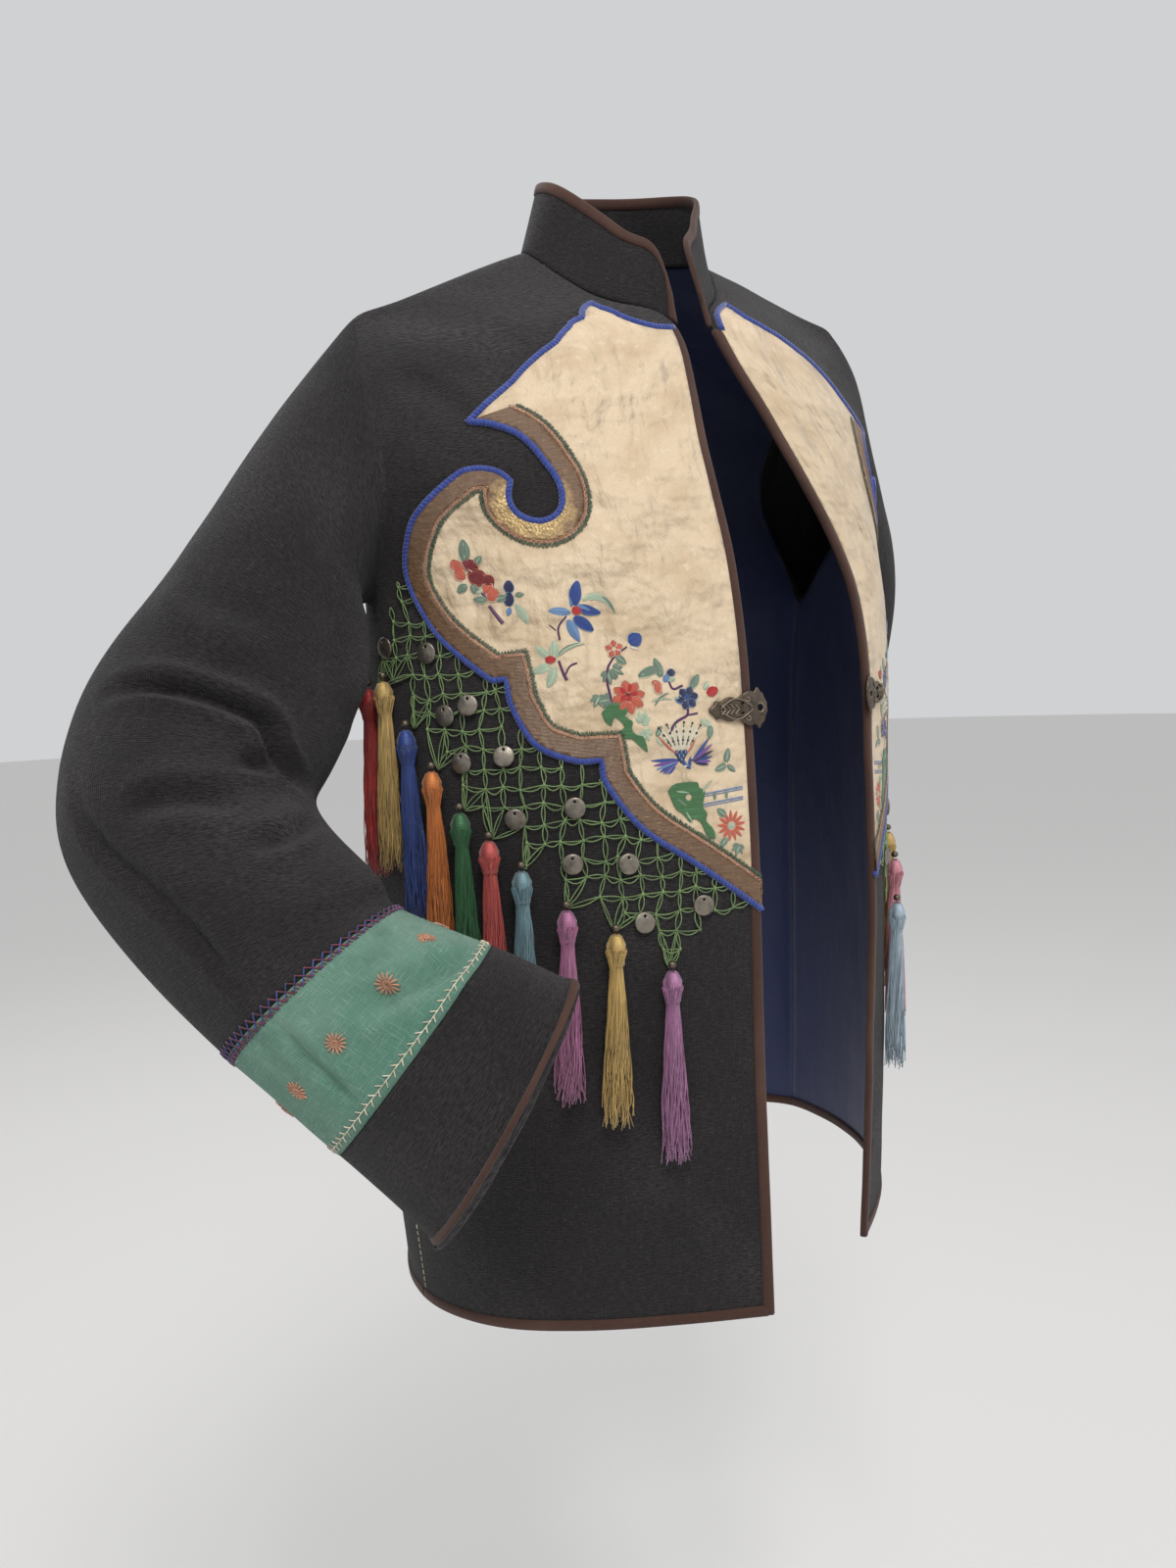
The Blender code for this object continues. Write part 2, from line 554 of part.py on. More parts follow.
def sewn_on(front, hand):
    """The cream panel with its piping and ribbon, the net under it, and the net's tassels."""
    edge = stroke_points(PANEL, STEPS)
    patch("piping_" + hand, front, edge + front.inset(edge, PIPING)[::-1], PIPING_PROUD, GAP, BLUE)
    satin = front.inset(edge, PIPING + GAP)
    patch("satin_panel_" + hand, front, satin, GAP + SATIN, GAP, CREAM)
    from_tip = stroke_points(PANEL[RIBBON_FROM:], STEPS)
    outer = front.inset(from_tip, PIPING + GAP)
    inner = front.inset(from_tip, PIPING + GAP + RIBBON_WIDTH)
    patch("ribbon_" + hand, front, outer[STEPS:] + inner[:STEPS:-1],
          2 * GAP + SATIN + RIBBON, 2 * GAP + SATIN, GOLD)
    lower = front.inset(stroke_points(PANEL[NET_FROM:], STEPS), -GAP)[NET_SKIP * STEPS:]
    hem = []
    for one, two in zip(TASSELS, TASSELS[1:]):
        notch = (one.out + two.out) / 2, max(one.level, two.level) + NET_NOTCH / 2
        hem += [(one.out, one.level), notch]
    hem += [(TASSELS[-1].out, TASSELS[-1].level), NET_END]
    patch("net_" + hand, front, lower[::-1] + NET_SIDE + hem, GAP + NET, GAP, GREEN)
    for i, spot in enumerate(TASSELS):
        tassel("tassel_%s_%02d" % (hand, i + 1), front, spot, getattr(spot, hand))
    clasp("clasp_" + hand, front)


# ---- colours -------------------------------------------------------------------------------------
CHARCOAL = (0.035, 0.031, 0.033), 0.9
NAVY = (0.010, 0.016, 0.060), 0.6
BROWN = (0.075, 0.036, 0.026), 0.75
TEAL = (0.16, 0.36, 0.27), 0.85
CREAM = (0.78, 0.66, 0.47), 0.4
BLUE = (0.02, 0.07, 0.42), 0.7
GOLD = (0.24, 0.15, 0.06), 0.5
GREEN = (0.10, 0.24, 0.05), 0.7
PEWTER = (0.25, 0.22, 0.18), 0.45, 0.9

COLLECTION = "hmong embroidered jacket"


def build():
    for old in list(bpy.data.objects):
        bpy.data.objects.remove(old)
    bpy.context.scene.collection.children.link(bpy.data.collections.new(COLLECTION))

    skin = Skin()
    centre = [skin.add(row_line(row_at(BACK_RIGHT, t), 0.0)) for t in row_steps() if t <= NECK]
    grids = {}
    for hand, side, rows, back_rows, sections in (
            ("right", -1, FRONT_RIGHT, BACK_RIGHT, SLEEVE_RIGHT),
            ("left", 1, FRONT_LEFT, BACK_LEFT, SLEEVE_LEFT)):
        front = front_grid(skin, rows, side)
        back = back_grid(skin, front, back_rows, side, centre)
        sleeve = sleeve_grid(skin, front, back, sections, side)
        grids[hand] = front, back, sleeve
        right = side < 0
        neck = NECK * SPLIT + 1
        skin.weave("binding_front_" + hand, [r[:2] for r in front[:neck + 1]], right)
        skin.weave("binding_hem_front_" + hand, [r[1:] for r in front[:2]], right)
        skin.weave("front_" + hand, [r[1:] for r in front[1:]], right)
        skin.weave("front_" + hand, [r[:2] for r in front[neck:]], right)
        skin.weave("binding_hem_back", back[:2], not right)
        skin.weave("back", back[1:], not right)
        bands = {"sleeve_upper_": sleeve[:ELBOW + 2], "sleeve_lower_": sleeve[ELBOW + 1:BAND_TOP + 2],
                 "sleeve_band_": sleeve[BAND_TOP + 1:BAND_LOW + 2],
                 "cuff_": sleeve[BAND_LOW + 1:WRIST + 2], "binding_cuff_": sleeve[WRIST + 1:]}
        for name, rings in bands.items():
            skin.weave(name + hand, rings, right)
    skin.finish()

    neck = NECK * SPLIT + 1
    around = [row[0] for row in grids["right"][0][neck:]] + [row[0] for row in grids["right"][1][-2:neck - 1:-1]]
    around += [row[0] for row in grids["left"][1][neck + 1:-1]] + [row[0] for row in grids["left"][0][:neck - 1:-1]]
    collar = Skin()
    lines = collar_grid(collar, [skin.points[n] for n in around])
    collar.weave("collar", [line[1:-1] for line in lines[:3]], True)
    collar.weave("binding_collar", lines[2:], True)
    collar.weave("binding_collar", [line[:2] for line in lines[:3]], True)
    collar.weave("binding_collar", [line[-2:] for line in lines[:3]], True)
    collar.finish()
    wall("collar", collar.points, collar.normals, collar.faces["collar"], 0.0, -COLLAR_WALL, CHARCOAL)
    wall("binding_collar", collar.points, collar.normals, collar.faces["binding_collar"],
         BINDING_PROUD, -COLLAR_WALL - BINDING_PROUD, BROWN)

    points, normals = skin.points, skin.normals
    looks = {"front": CHARCOAL, "back": CHARCOAL, "sleeve": CHARCOAL, "cuff": CHARCOAL, "binding": BROWN}
    for name, faces in skin.faces.items():
        look = TEAL if name.startswith("sleeve_band") else looks[name.split("_")[0]]
        if name.startswith("binding"):
            lined = LINING + GAP if "cuff" not in name else 0.0
            wall(name, points, normals, faces, BINDING_PROUD, -CLOTH - lined - BINDING_PROUD, look)
        else:
            wall(name, points, normals, faces, 0.0, -CLOTH, look)
    for name in ("front_right", "front_left", "back"):
        wall("lining_" + name, points, normals, skin.faces[name], -CLOTH - GAP, -CLOTH - GAP - LINING, NAVY)
    for hand, side in (("right", -1), ("left", 1)):
        sewn_on(Front(skin, hand, side), hand)


if __name__ == "__main__":
    build()
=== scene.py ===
"""Looks of the hmong embroidered jacket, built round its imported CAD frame.

Metres, +Z up, the wearer faces -Y and the wearer's right is -X. A flat place on a front is its distance
from the front edge along the cloth, and its level. What is sewn on a front is drawn flat and laid on it.
"""
import math
from collections import namedtuple

import bpy
import numpy as np
from mathutils import Matrix, Vector, noise
from mathutils.bvhtree import BVHTree
from mathutils.geometry import delaunay_2d_cdt


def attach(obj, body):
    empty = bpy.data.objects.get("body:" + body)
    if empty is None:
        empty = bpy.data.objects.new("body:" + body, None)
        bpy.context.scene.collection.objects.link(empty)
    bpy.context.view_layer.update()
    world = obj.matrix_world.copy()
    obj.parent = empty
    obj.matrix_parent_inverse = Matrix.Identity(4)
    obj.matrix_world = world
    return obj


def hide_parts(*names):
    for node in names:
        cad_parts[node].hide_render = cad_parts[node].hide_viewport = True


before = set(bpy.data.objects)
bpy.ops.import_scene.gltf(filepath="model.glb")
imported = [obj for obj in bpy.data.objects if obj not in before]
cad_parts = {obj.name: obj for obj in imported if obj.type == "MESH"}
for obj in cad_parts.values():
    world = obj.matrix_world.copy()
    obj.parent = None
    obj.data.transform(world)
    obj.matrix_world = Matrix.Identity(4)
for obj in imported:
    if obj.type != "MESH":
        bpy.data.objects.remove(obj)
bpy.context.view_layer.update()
chance = np.random.default_rng(7)

# ---- sizes shared with the CAD -------------------------------------------------------------------
CLOTH, LINING, BINDING = 0.0018, 0.0010, 0.0075
COLLAR_HEIGHT, COLLAR_FRONT, COLLAR_ROUND, COLLAR_LEAN, COLLAR_SWING = 0.054, 0.42, 0.036, 0.30, 0.85
COLLAR_WALL = 0.0024
PART_GAP, BAND_PROUD = 0.0003, 0.0004
HEM_LEVEL, NECK_LEVEL = -0.775, -0.070
PIPING, RIBBON_WIDTH = 0.0048, 0.0120
ROW_REACH = 1.15

Row = namedtuple("Row", "out y z end_out end_y end_z leave arrive")
FRONT_RIGHT = [
    Row(0.054, -0.200, -0.775, 0.229, -0.008, -0.780, 30, 95),      # hem
    Row(0.045, -0.187, -0.610, 0.240, 0.000, -0.610, 18, 95),
    Row(0.037, -0.178, -0.430, 0.243, 0.000, -0.430, 12, 95),
    Row(0.034, -0.164, -0.272, 0.238, -0.005, -0.275, 8, 80),       # armpit
    Row(0.037, -0.135, -0.163, 0.248, -0.050, -0.185, 4, 32),
    Row(0.020, -0.085, -0.069, 0.243, -0.022, -0.110, -6, 16),      # front of the neck
    Row(0.058, -0.040, -0.045, 0.235, 0.004, -0.076, -8, 8),
    Row(0.083, 0.018, -0.002, 0.226, 0.020, -0.059, 0, 0),          # shoulder
]
FRONT_LEFT = [
    Row(0.086, -0.152, -0.773, 0.250, 0.108, -0.768, 34, 92),
    Row(0.097, -0.152, -0.610, 0.248, 0.098, -0.610, 32, 92),
    Row(0.110, -0.143, -0.430, 0.244, 0.090, -0.430, 30, 94),
    Row(0.111, -0.130, -0.272, 0.240, 0.070, -0.277, 14, 92),
    Row(0.052, -0.118, -0.163, 0.240, -0.010, -0.182, -6, 62),
    Row(0.012, -0.085, -0.069, 0.242, -0.010, -0.096, -8, 24),
    Row(0.058, -0.038, -0.036, 0.238, 0.004, -0.058, -8, 10),
    Row(0.090, 0.012, 0.003, 0.230, 0.014, -0.036, 0, 0),
]
BACK_RIGHT = [
    Row(0.000, 0.165, -0.775, 0.240, -0.005, -0.778, 0, -85),
    Row(0.000, 0.152, -0.610, 0.243, 0.000, -0.610, 0, -85),
    Row(0.000, 0.130, -0.430, 0.243, 0.000, -0.430, 0, -85),
    Row(0.000, 0.128, -0.272, 0.238, -0.005, -0.275, 0, -80),
    Row(0.000, 0.126, -0.150, 0.236, 0.078, -0.180, 0, -20),
    Row(0.000, 0.078, 0.004, 0.234, 0.060, -0.110, 6, -8),
    Row(0.056, 0.062, 0.004, 0.230, 0.040, -0.078, 6, -4),
    Row(0.083, 0.018, -0.002, 0.226, 0.020, -0.059, 0, 0),
]
BACK_LEFT = [
    Row(0.000, 0.165, -0.775, 0.250, 0.108, -0.768, 0, -75),
    Row(0.000, 0.152, -0.610, 0.248, 0.098, -0.610, 0, -75),
    Row(0.000, 0.130, -0.430, 0.244, 0.090, -0.430, 0, -70),
    Row(0.000, 0.128, -0.272, 0.240, 0.070, -0.277, 0, -55),
    Row(0.000, 0.126, -0.150, 0.232, 0.112, -0.175, 0, -16),
    Row(0.000, 0.078, 0.004, 0.234, 0.080, -0.100, 6, -8),
    Row(0.056, 0.062, 0.007, 0.232, 0.046, -0.062, 6, -4),
    Row(0.090, 0.012, 0.003, 0.230, 0.014, -0.036, 0, 0),
]
PIT, NECK, LAST = 3, 5, 7

Section = namedtuple("Section", "over under depth lean")
SLEEVE_RIGHT = [
    Section((-0.297, 0.028, -0.142), (-0.255, -0.014, -0.272), 0.066, 0.0),
    Section((-0.366, 0.040, -0.236), (-0.263, -0.033, -0.325), 0.066, 0.0),
    Section((-0.428, 0.052, -0.320), (-0.296, -0.052, -0.370), 0.064, 0.0),
    Section((-0.457, 0.030, -0.405), (-0.318, -0.070, -0.394), 0.060, 0.0),
    Section((-0.439, -0.010, -0.470), (-0.302, -0.120, -0.435), 0.056, 0.0),
    Section((-0.387, -0.071, -0.549), (-0.301, -0.140, -0.453), 0.050, 0.004),     # top of the band
    Section((-0.340, -0.122, -0.605), (-0.271, -0.202, -0.473), 0.046, 0.008),
    Section((-0.303, -0.160, -0.658), (-0.232, -0.227, -0.497), 0.042, 0.009),
    Section((-0.300, -0.163, -0.663), (-0.228, -0.231, -0.498), 0.042, 0.009),
]
SLEEVE_LEFT = [
    Section((0.278, 0.060, -0.112), (0.254, 0.076, -0.293), 0.058, 0.0),
    Section((0.334, 0.090, -0.214), (0.262, 0.092, -0.340), 0.063, 0.0),
    Section((0.362, 0.130, -0.340), (0.252, 0.126, -0.390), 0.068, 0.0),
    Section((0.370, 0.152, -0.430), (0.246, 0.150, -0.455), 0.070, 0.0),
    Section((0.372, 0.170, -0.510), (0.240, 0.168, -0.528), 0.068, 0.0),
    Section((0.370, 0.184, -0.585), (0.236, 0.182, -0.596), 0.066, 0.0),
    Section((0.371, 0.193, -0.650), (0.232, 0.191, -0.659), 0.064, 0.0),
    Section((0.374, 0.199, -0.715), (0.228, 0.197, -0.722), 0.063, 0.0),
    Section((0.3745, 0.200, -0.722), (0.2275, 0.198, -0.730), 0.063, 0.0),
]
BAND_TOP, BAND_LOW, CUFF = 6, 7, 9          # ring numbers, the armhole being 0
PANEL_TOP = {
    "right": [
        [(0.004, -0.0700), (0.0175, -0.0672), (0.029, -0.0630), (0.033, -0.0575), (0.0257, -0.0520),
         (0.0175, -0.0471)],
        [(0.0175, -0.0471), (0.0375, -0.0508), (0.0565, -0.0540), (0.0715, -0.0565), (0.0825, -0.0602),
         (0.1015, -0.0672), (0.128, -0.0823), (0.149, -0.0987), (0.177, -0.122)]],
    "left": [
        [(0.004, -0.0700), (0.004, -0.0630), (0.003, -0.0560), (0.003, -0.0480), (0.005, -0.0405)],
        [(0.005, -0.0405), (0.018, -0.0470), (0.032, -0.0525), (0.050, -0.0575), (0.0745, -0.0625),
         (0.1015, -0.0700), (0.128, -0.0835), (0.149, -0.0987), (0.177, -0.122)]],
}
PANEL = [
    [(0.177, -0.122), (0.156, -0.129), (0.136, -0.144), (0.120, -0.172), (0.117, -0.192),
     (0.123, -0.202), (0.134, -0.205), (0.144, -0.199), (0.148, -0.187), (0.1445, -0.174)],
    [(0.1445, -0.174), (0.153, -0.164), (0.168, -0.159), (0.184, -0.163), (0.217, -0.191), (0.238, -0.237),
     (0.225, -0.281), (0.188, -0.317), (0.175, -0.320)],
    [(0.175, -0.320), (0.172, -0.338), (0.157, -0.365), (0.131, -0.377), (0.1145, -0.378)],
    [(0.1145, -0.378), (0.111, -0.394), (0.088, -0.425), (0.048, -0.454), (0.000, -0.490)],
]
Tassel = namedtuple("Tassel", "out level right left")
TASSELS = [
    Tassel(0.2800, -0.322, "red", "red"), Tassel(0.2625, -0.317, "yellow", "yellow"),
    Tassel(0.2440, -0.351, "blue", "purple"), Tassel(0.2255, -0.379, "orange", "blue"),
    Tassel(0.2070, -0.407, "green", "orange"), Tassel(0.1885, -0.426, "coral", "green"),
    Tassel(0.1680, -0.447, "slate", "red"), Tassel(0.1400, -0.475, "plum", "gold"),
    Tassel(0.1080, -0.493, "gold", "pink"), Tassel(0.0695, -0.522, "violet", "silver"),
]
TASSEL_LENGTH = 0.135
CLASP_LEVEL = -0.347
SIDES = {"right": -1, "left": 1}


# ---- curves --------------------------------------------------------------------------------------
def unit(v):
    v = np.asarray(v, float)
    return v / np.maximum(np.linalg.norm(v, axis=-1, keepdims=True), 1e-12)


def catmull(values, t):
    """Smooth value at t through evenly numbered values, each a number or an array."""
    values = [np.asarray(v, float) for v in values]
    last = len(values) - 1
    i = min(int(t), last - 1)
    f = t - i
    p1, p2 = values[i], values[i + 1]
    p0 = values[i - 1] if i > 0 else 2 * p1 - p2
    p3 = values[i + 2] if i + 2 <= last else 2 * p2 - p1
    return p1 + 0.5 * f * (p2 - p0 + f * (2 * p0 - 5 * p1 + 4 * p2 - p3 + f * (3 * (p1 - p2) + p3 - p0)))


def smooth_line(points, step):
    """Points about `step` apart along the smooth curve through `points`."""
    dense = np.array([catmull(points, t) for t in np.linspace(0, len(points) - 1, 24 * (len(points) - 1)
                                                              + 1)])
    gone = np.concatenate([[0], np.cumsum(np.linalg.norm(np.diff(dense, axis=0), axis=1))])
    marks = np.linspace(0, gone[-1], max(int(round(gone[-1] / step)), 2) + 1)
    return np.stack([np.interp(marks, gone, dense[:, k]) for k in range(dense.shape[1])], axis=1)


def row_line(row, s):
    """Point at s, from 0 at the inner end to 1 at the outer end, on one level line."""
    out, y, z, end_out, end_y, end_z, leave, arrive = row
    reach = ROW_REACH * math.hypot(end_out - out, end_y - y)
    s2, s3 = s * s, s * s * s
    start, finish = (np.array([reach * math.cos(math.radians(a)), reach * math.sin(math.radians(a)),
                               end_z - z])
                     for a in (leave, arrive))
    return ((2 * s3 - 3 * s2 + 1) * np.array([out, y, z]) + (s3 - 2 * s2 + s) * start
            + (3 * s2 - 2 * s3) * np.array([end_out, end_y, end_z]) + (s3 - s2) * finish)


def row_at(rows, t):
    return Row(*catmull(rows, t))


def arc_length(row, s):
    marks = np.array([row_line(row, s * i / 12) for i in range(13)])
    return np.linalg.norm(np.diff(marks, axis=0), axis=1).sum()


def offset_path(path, distance, clear_of=None):
    """A flat path moved sideways by `distance`, to the left of its way for a positive one. Points that
    come nearer than that to `clear_of`, the path itself by default, are dropped."""
    path = np.asarray(path, float)
    ways = unit(np.diff(path, axis=0))
    sides = np.stack([-ways[:, 1], ways[:, 0]], axis=1)
    before, after = np.vstack([sides[:1], sides]), np.vstack([sides, sides[-1:]])
    mitre = (before + after) / np.maximum(1 + (before * after).sum(1, keepdims=True), 0.3)
    moved = path + distance * mitre
    near = np.array([segment_distance(p, path if clear_of is None else clear_of).min() for p in moved])
    return moved[near > 0.93 * abs(distance)]


def segment_distance(point, path):
    a, b = path[:-1], path[1:]
    share = np.clip(((point - a) * (b - a)).sum(1) / np.maximum(((b - a) ** 2).sum(1), 1e-12), 0, 1)
    return np.linalg.norm(point - a - share[:, None] * (b - a), axis=1)


# ---- materials -----------------------------------------------------------------------------------
class Look:
    """A material and short ways to add nodes to it. Pattern places are the UV map, in metres."""

    def __init__(self, name, colour, roughness, **settings):
        self.made = bpy.data.materials.new(name)
        self.made.use_nodes = True
        self.tree = self.made.node_tree
        self.shader = self.tree.nodes["Principled BSDF"]
        self.colour = (*colour, 1.0)
        self.set("Base Color", self.colour)
        self.set("Roughness", roughness)
        for key, value in settings.items():
            self.set(key.replace("_", " ").title().replace("Ior", "IOR"), value)
        self.heights = []
        self.uv = self.node("TexCoord").outputs["UV"]

    def set(self, socket, value):
        if isinstance(value, bpy.types.NodeSocket):
            self.tree.links.new(value, self.shader.inputs[socket])
        else:
            self.shader.inputs[socket].default_value = value

    def node(self, kind, inputs=None, **settings):
        made = self.tree.nodes.new("ShaderNode" + kind)
        for key, value in settings.items():
            setattr(made, key, value)
        for key, value in (inputs or {}).items():
            if isinstance(value, bpy.types.NodeSocket):
                self.tree.links.new(value, made.inputs[key])
            else:
                made.inputs[key].default_value = value
        return made

    def stretched(self, u, v, turn=0.0):
        """Pattern places where one unit is 1/u metres along and 1/v metres across."""
        return self.node("Mapping",
                         {"Vector": self.uv, "Scale": (u, v, 1.0), "Rotation": (0, 0, turn)}).outputs[0]

    def noise(self, u, v, detail=3.0, turn=0.0):
        place = self.stretched(u, v, turn)
        return self.node("TexNoise", {"Vector": place, "Scale": 1.0, "Detail": detail}).outputs["Fac"]

    def ridges(self, pitch, across=False, wander=0.4, turn=0.0):
        """Even threads `pitch` apart, running along the cloth, or across it."""
        place = self.stretched(math.pi / 10 / pitch, math.pi / 10 / pitch, turn)
        return self.node("TexWave", {"Vector": place, "Scale": 1.0, "Distortion": wander, "Detail": 2.0},
                         bands_direction="X" if across else "Y").outputs["Fac"]

    def math(self, kind, a, b=0.0, clamp=False):
        return self.node("Math", {0: a, 1: b}, operation=kind, use_clamp=clamp).outputs[0]

    def spread(self, value, low, high):
        """`value` stretched so that low becomes 0 and high becomes 1."""
        return self.node("MapRange", {"Value": value, "From Min": low, "From Max": high}).outputs[0]

    def blend(self, share, other):
        """Mix the colour so far with another one."""
        made = self.node("Mix", data_type="RGBA")
        for socket, value in ((0, share), (6, self.colour), (7, other)):
            if isinstance(value, bpy.types.NodeSocket):
                self.tree.links.new(value, made.inputs[socket])
            else:
                made.inputs[socket].default_value = value if len(value) == 4 else (*value, 1.0)
        self.colour = made.outputs[2]
        self.set("Base Color", self.colour)
        return self

    def bump(self, height, depth):
        """Raise the surface by `height` (0 to 1) times `depth` metres."""
        inputs = {"Height": height, "Strength": 1.0, "Distance": depth}
        if self.heights:
            inputs["Normal"] = self.heights[-1]
        self.heights.append(self.node("Bump", inputs).outputs["Normal"])
        self.set("Normal", self.heights[-1])
        return self


def woven(name, colour, light, pitch, roughness=0.85, depth=0.0002, slub=1.0, sheen=0.25):
    """Plain-woven cloth: crossing threads, uneven slubs both ways, and paler worn flecks."""
    look = Look(name, colour, roughness, sheen_weight=sheen, sheen_roughness=0.5, specular_ior_level=0.25)
    across = look.ridges(pitch, True, 1.2)
    along = look.ridges(pitch, False, 1.2)
    slubs = look.math("MAXIMUM", look.noise(90, 1300, 4), look.noise(1300, 90, 4))
    cloud = look.noise(9, 9, 4)
    look.blend(look.math("MULTIPLY", look.spread(slubs, 0.54, 0.80), 0.75 * slub, True), light)
    look.blend(look.spread(cloud, 0.45, 0.95), light)
    threads = look.math("MULTIPLY", across, along)
    look.bump(look.math("ADD", threads, look.math("MULTIPLY", slubs, 1.6 * slub)), depth)
    return look


def charcoal_cloth():
    look = woven("charcoal_cloth", (0.0200, 0.0172, 0.0182), (0.082, 0.072, 0.072), 0.0013, depth=0.0006,
                 sheen=0.12)
    crepe = look.noise(230, 900, 4)
    look.blend(look.spread(crepe, 0.62, 0.36), (0.011, 0.0095, 0.0105))
    look.bump(crepe, 0.0011)
    look.bump(look.noise(26, 26, 3), 0.0016)
    return look.made


def navy_lining():
    look = Look("navy_lining", (0.010, 0.019, 0.080), 0.5, sheen_weight=0.2)
    twill = look.ridges(0.0012, False, 0.5, math.radians(40))
    look.blend(look.math("MULTIPLY", twill, 0.5), (0.022, 0.038, 0.150))
    look.bump(twill, 0.00025)
    look.bump(look.noise(30, 10, 3), 0.0022)
    return look.made


def brown_binding():
    look = woven("brown_binding", (0.060, 0.026, 0.018), (0.125, 0.066, 0.047), 0.0008, 0.7, slub=0.5,
                 sheen=0.12)
    return look.bump(look.noise(60, 300, 3), 0.0006).made


def teal_band():
    look = woven("teal_band", (0.110, 0.285, 0.205), (0.34, 0.52, 0.42), 0.0011, depth=0.0007, slub=1.3)
    look.blend(look.spread(look.noise(30, 30, 4), 0.55, 0.85), (0.070, 0.185, 0.135))
    return look.bump(look.noise(40, 40, 3), 0.0010).made


def cream_satin():
    look = Look("cream_satin", (0.72, 0.565, 0.385), 0.36, sheen_weight=0.2, anisotropic=0.4,
                specular_ior_level=0.55)
    threads = look.ridges(0.0009, False, 0.8, math.radians(12))
    look.blend(look.spread(look.noise(22, 30, 5), 0.46, 0.74), (0.56, 0.41, 0.25))
    look.blend(look.spread(look.noise(120, 160, 5), 0.58, 0.82), (0.80, 0.68, 0.50))
    look.blend(look.spread(look.noise(500, 700, 3), 0.60, 0.85), (0.48, 0.36, 0.23))
    look.bump(threads, 0.00012)
    look.bump(look.noise(60, 34, 4, 0.6), 0.0055)
    look.bump(look.noise(14, 22, 3), 0.0170)
    look.bump(look.noise(40, 7, 2, 0.35), 0.0090)
    look.set("Roughness", look.spread(look.noise(60, 40, 4), -0.4, 1.6))
    return look.made


def blue_piping():
    look = Look("blue_piping", (0.012, 0.036, 0.24), 0.7, sheen_weight=0.4)
    twist = look.ridges(0.0022, False, 0.3, math.radians(50))
    look.blend(look.math("MULTIPLY", look.spread(look.noise(300, 300, 4), 0.4, 0.8), 0.6),
               (0.055, 0.100, 0.40))
    look.bump(twist, 0.0004)
    return look.bump(look.noise(500, 260, 3), 0.0007).made


def gold_brown_ribbon():
    """A brown ribbon whose gold foil is still bright round the bottom of the hook."""
    look = Look("gold_brown_ribbon", (0.125, 0.066, 0.033), 0.40, specular_ior_level=0.6)
    offset = look.node("VectorMath", {0: look.uv, 1: (0.136, -0.196, 0.0)}, operation="SUBTRACT").outputs[0]
    away = look.node("VectorMath", {0: offset}, operation="LENGTH").outputs["Value"]
    ragged = look.math("ADD", away, look.math("MULTIPLY", look.noise(140, 140, 4), 0.018))
    foil = look.spread(ragged, 0.040, 0.028)
    worn = look.spread(look.noise(260, 900, 5), 0.60, 0.70)
    share = look.math("MAXIMUM", look.math("MULTIPLY", foil, 0.95), look.math("MULTIPLY", worn, 0.25))
    look.blend(look.spread(look.noise(70, 900, 3), 0.40, 0.75), (0.215, 0.120, 0.060))
    look.blend(share, (0.70, 0.50, 0.24))
    look.set("Metallic", look.math("MULTIPLY", share, 0.75))
    look.bump(look.ridges(0.0009, False, 0.2), 0.00015)
    cracks = look.node("TexVoronoi", {"Vector": look.stretched(420, 420), "Scale": 1.0}).outputs["Distance"]
    look.bump(look.math("MULTIPLY", cracks, foil), 0.0016)
    return look.bump(look.noise(160, 160, 3), 0.0009).made


def thread(name, colour, roughness=0.45, pale=1.9, sheen=0.3):
    """Silk thread: a fine twist along the strand, paler streaks, and darker patches painted in as shade
    between the strands.
    """
    look = Look(name, colour, roughness, sheen_weight=sheen, anisotropic=0.5)
    lighter = tuple(min(c * pale + 0.02, 1.0) for c in colour)
    look.blend(look.spread(look.noise(45, 700, 3), 0.50, 0.72), lighter)
    # Painted shade: darker patches, at 0.42 of the colour, stand in for the shade that falls between the
    # strands.
    look.blend(look.spread(look.noise(38, 500, 2, 0.3), 0.52, 0.36), tuple(c * 0.42 for c in colour))
    return look.bump(look.ridges(0.0010, True, 0.4), 0.00012).made


def stitched(name, colour, roughness=0.4):
    """Satin stitch: close parallel silk threads along each petal, paler at places."""
    look = Look(name, colour, roughness, sheen_weight=0.3, anisotropic=0.6)
    lighter = tuple(min(c * 1.9 + 0.03, 1.0) for c in colour)
    look.blend(look.spread(look.noise(50, 1100, 3), 0.50, 0.85), lighter)
    return look.bump(look.ridges(0.00065, False, 0.6), 0.00025).made


def pewter(name, colour):
    look = Look(name, colour, 0.42, metallic=0.85)
    look.blend(look.spread(look.noise(150, 150, 5), 0.45, 0.75), tuple(c * 0.45 for c in colour))
    look.bump(look.noise(700, 90, 4), 0.0002)
    return look.bump(look.noise(120, 120, 4), 0.0007).made


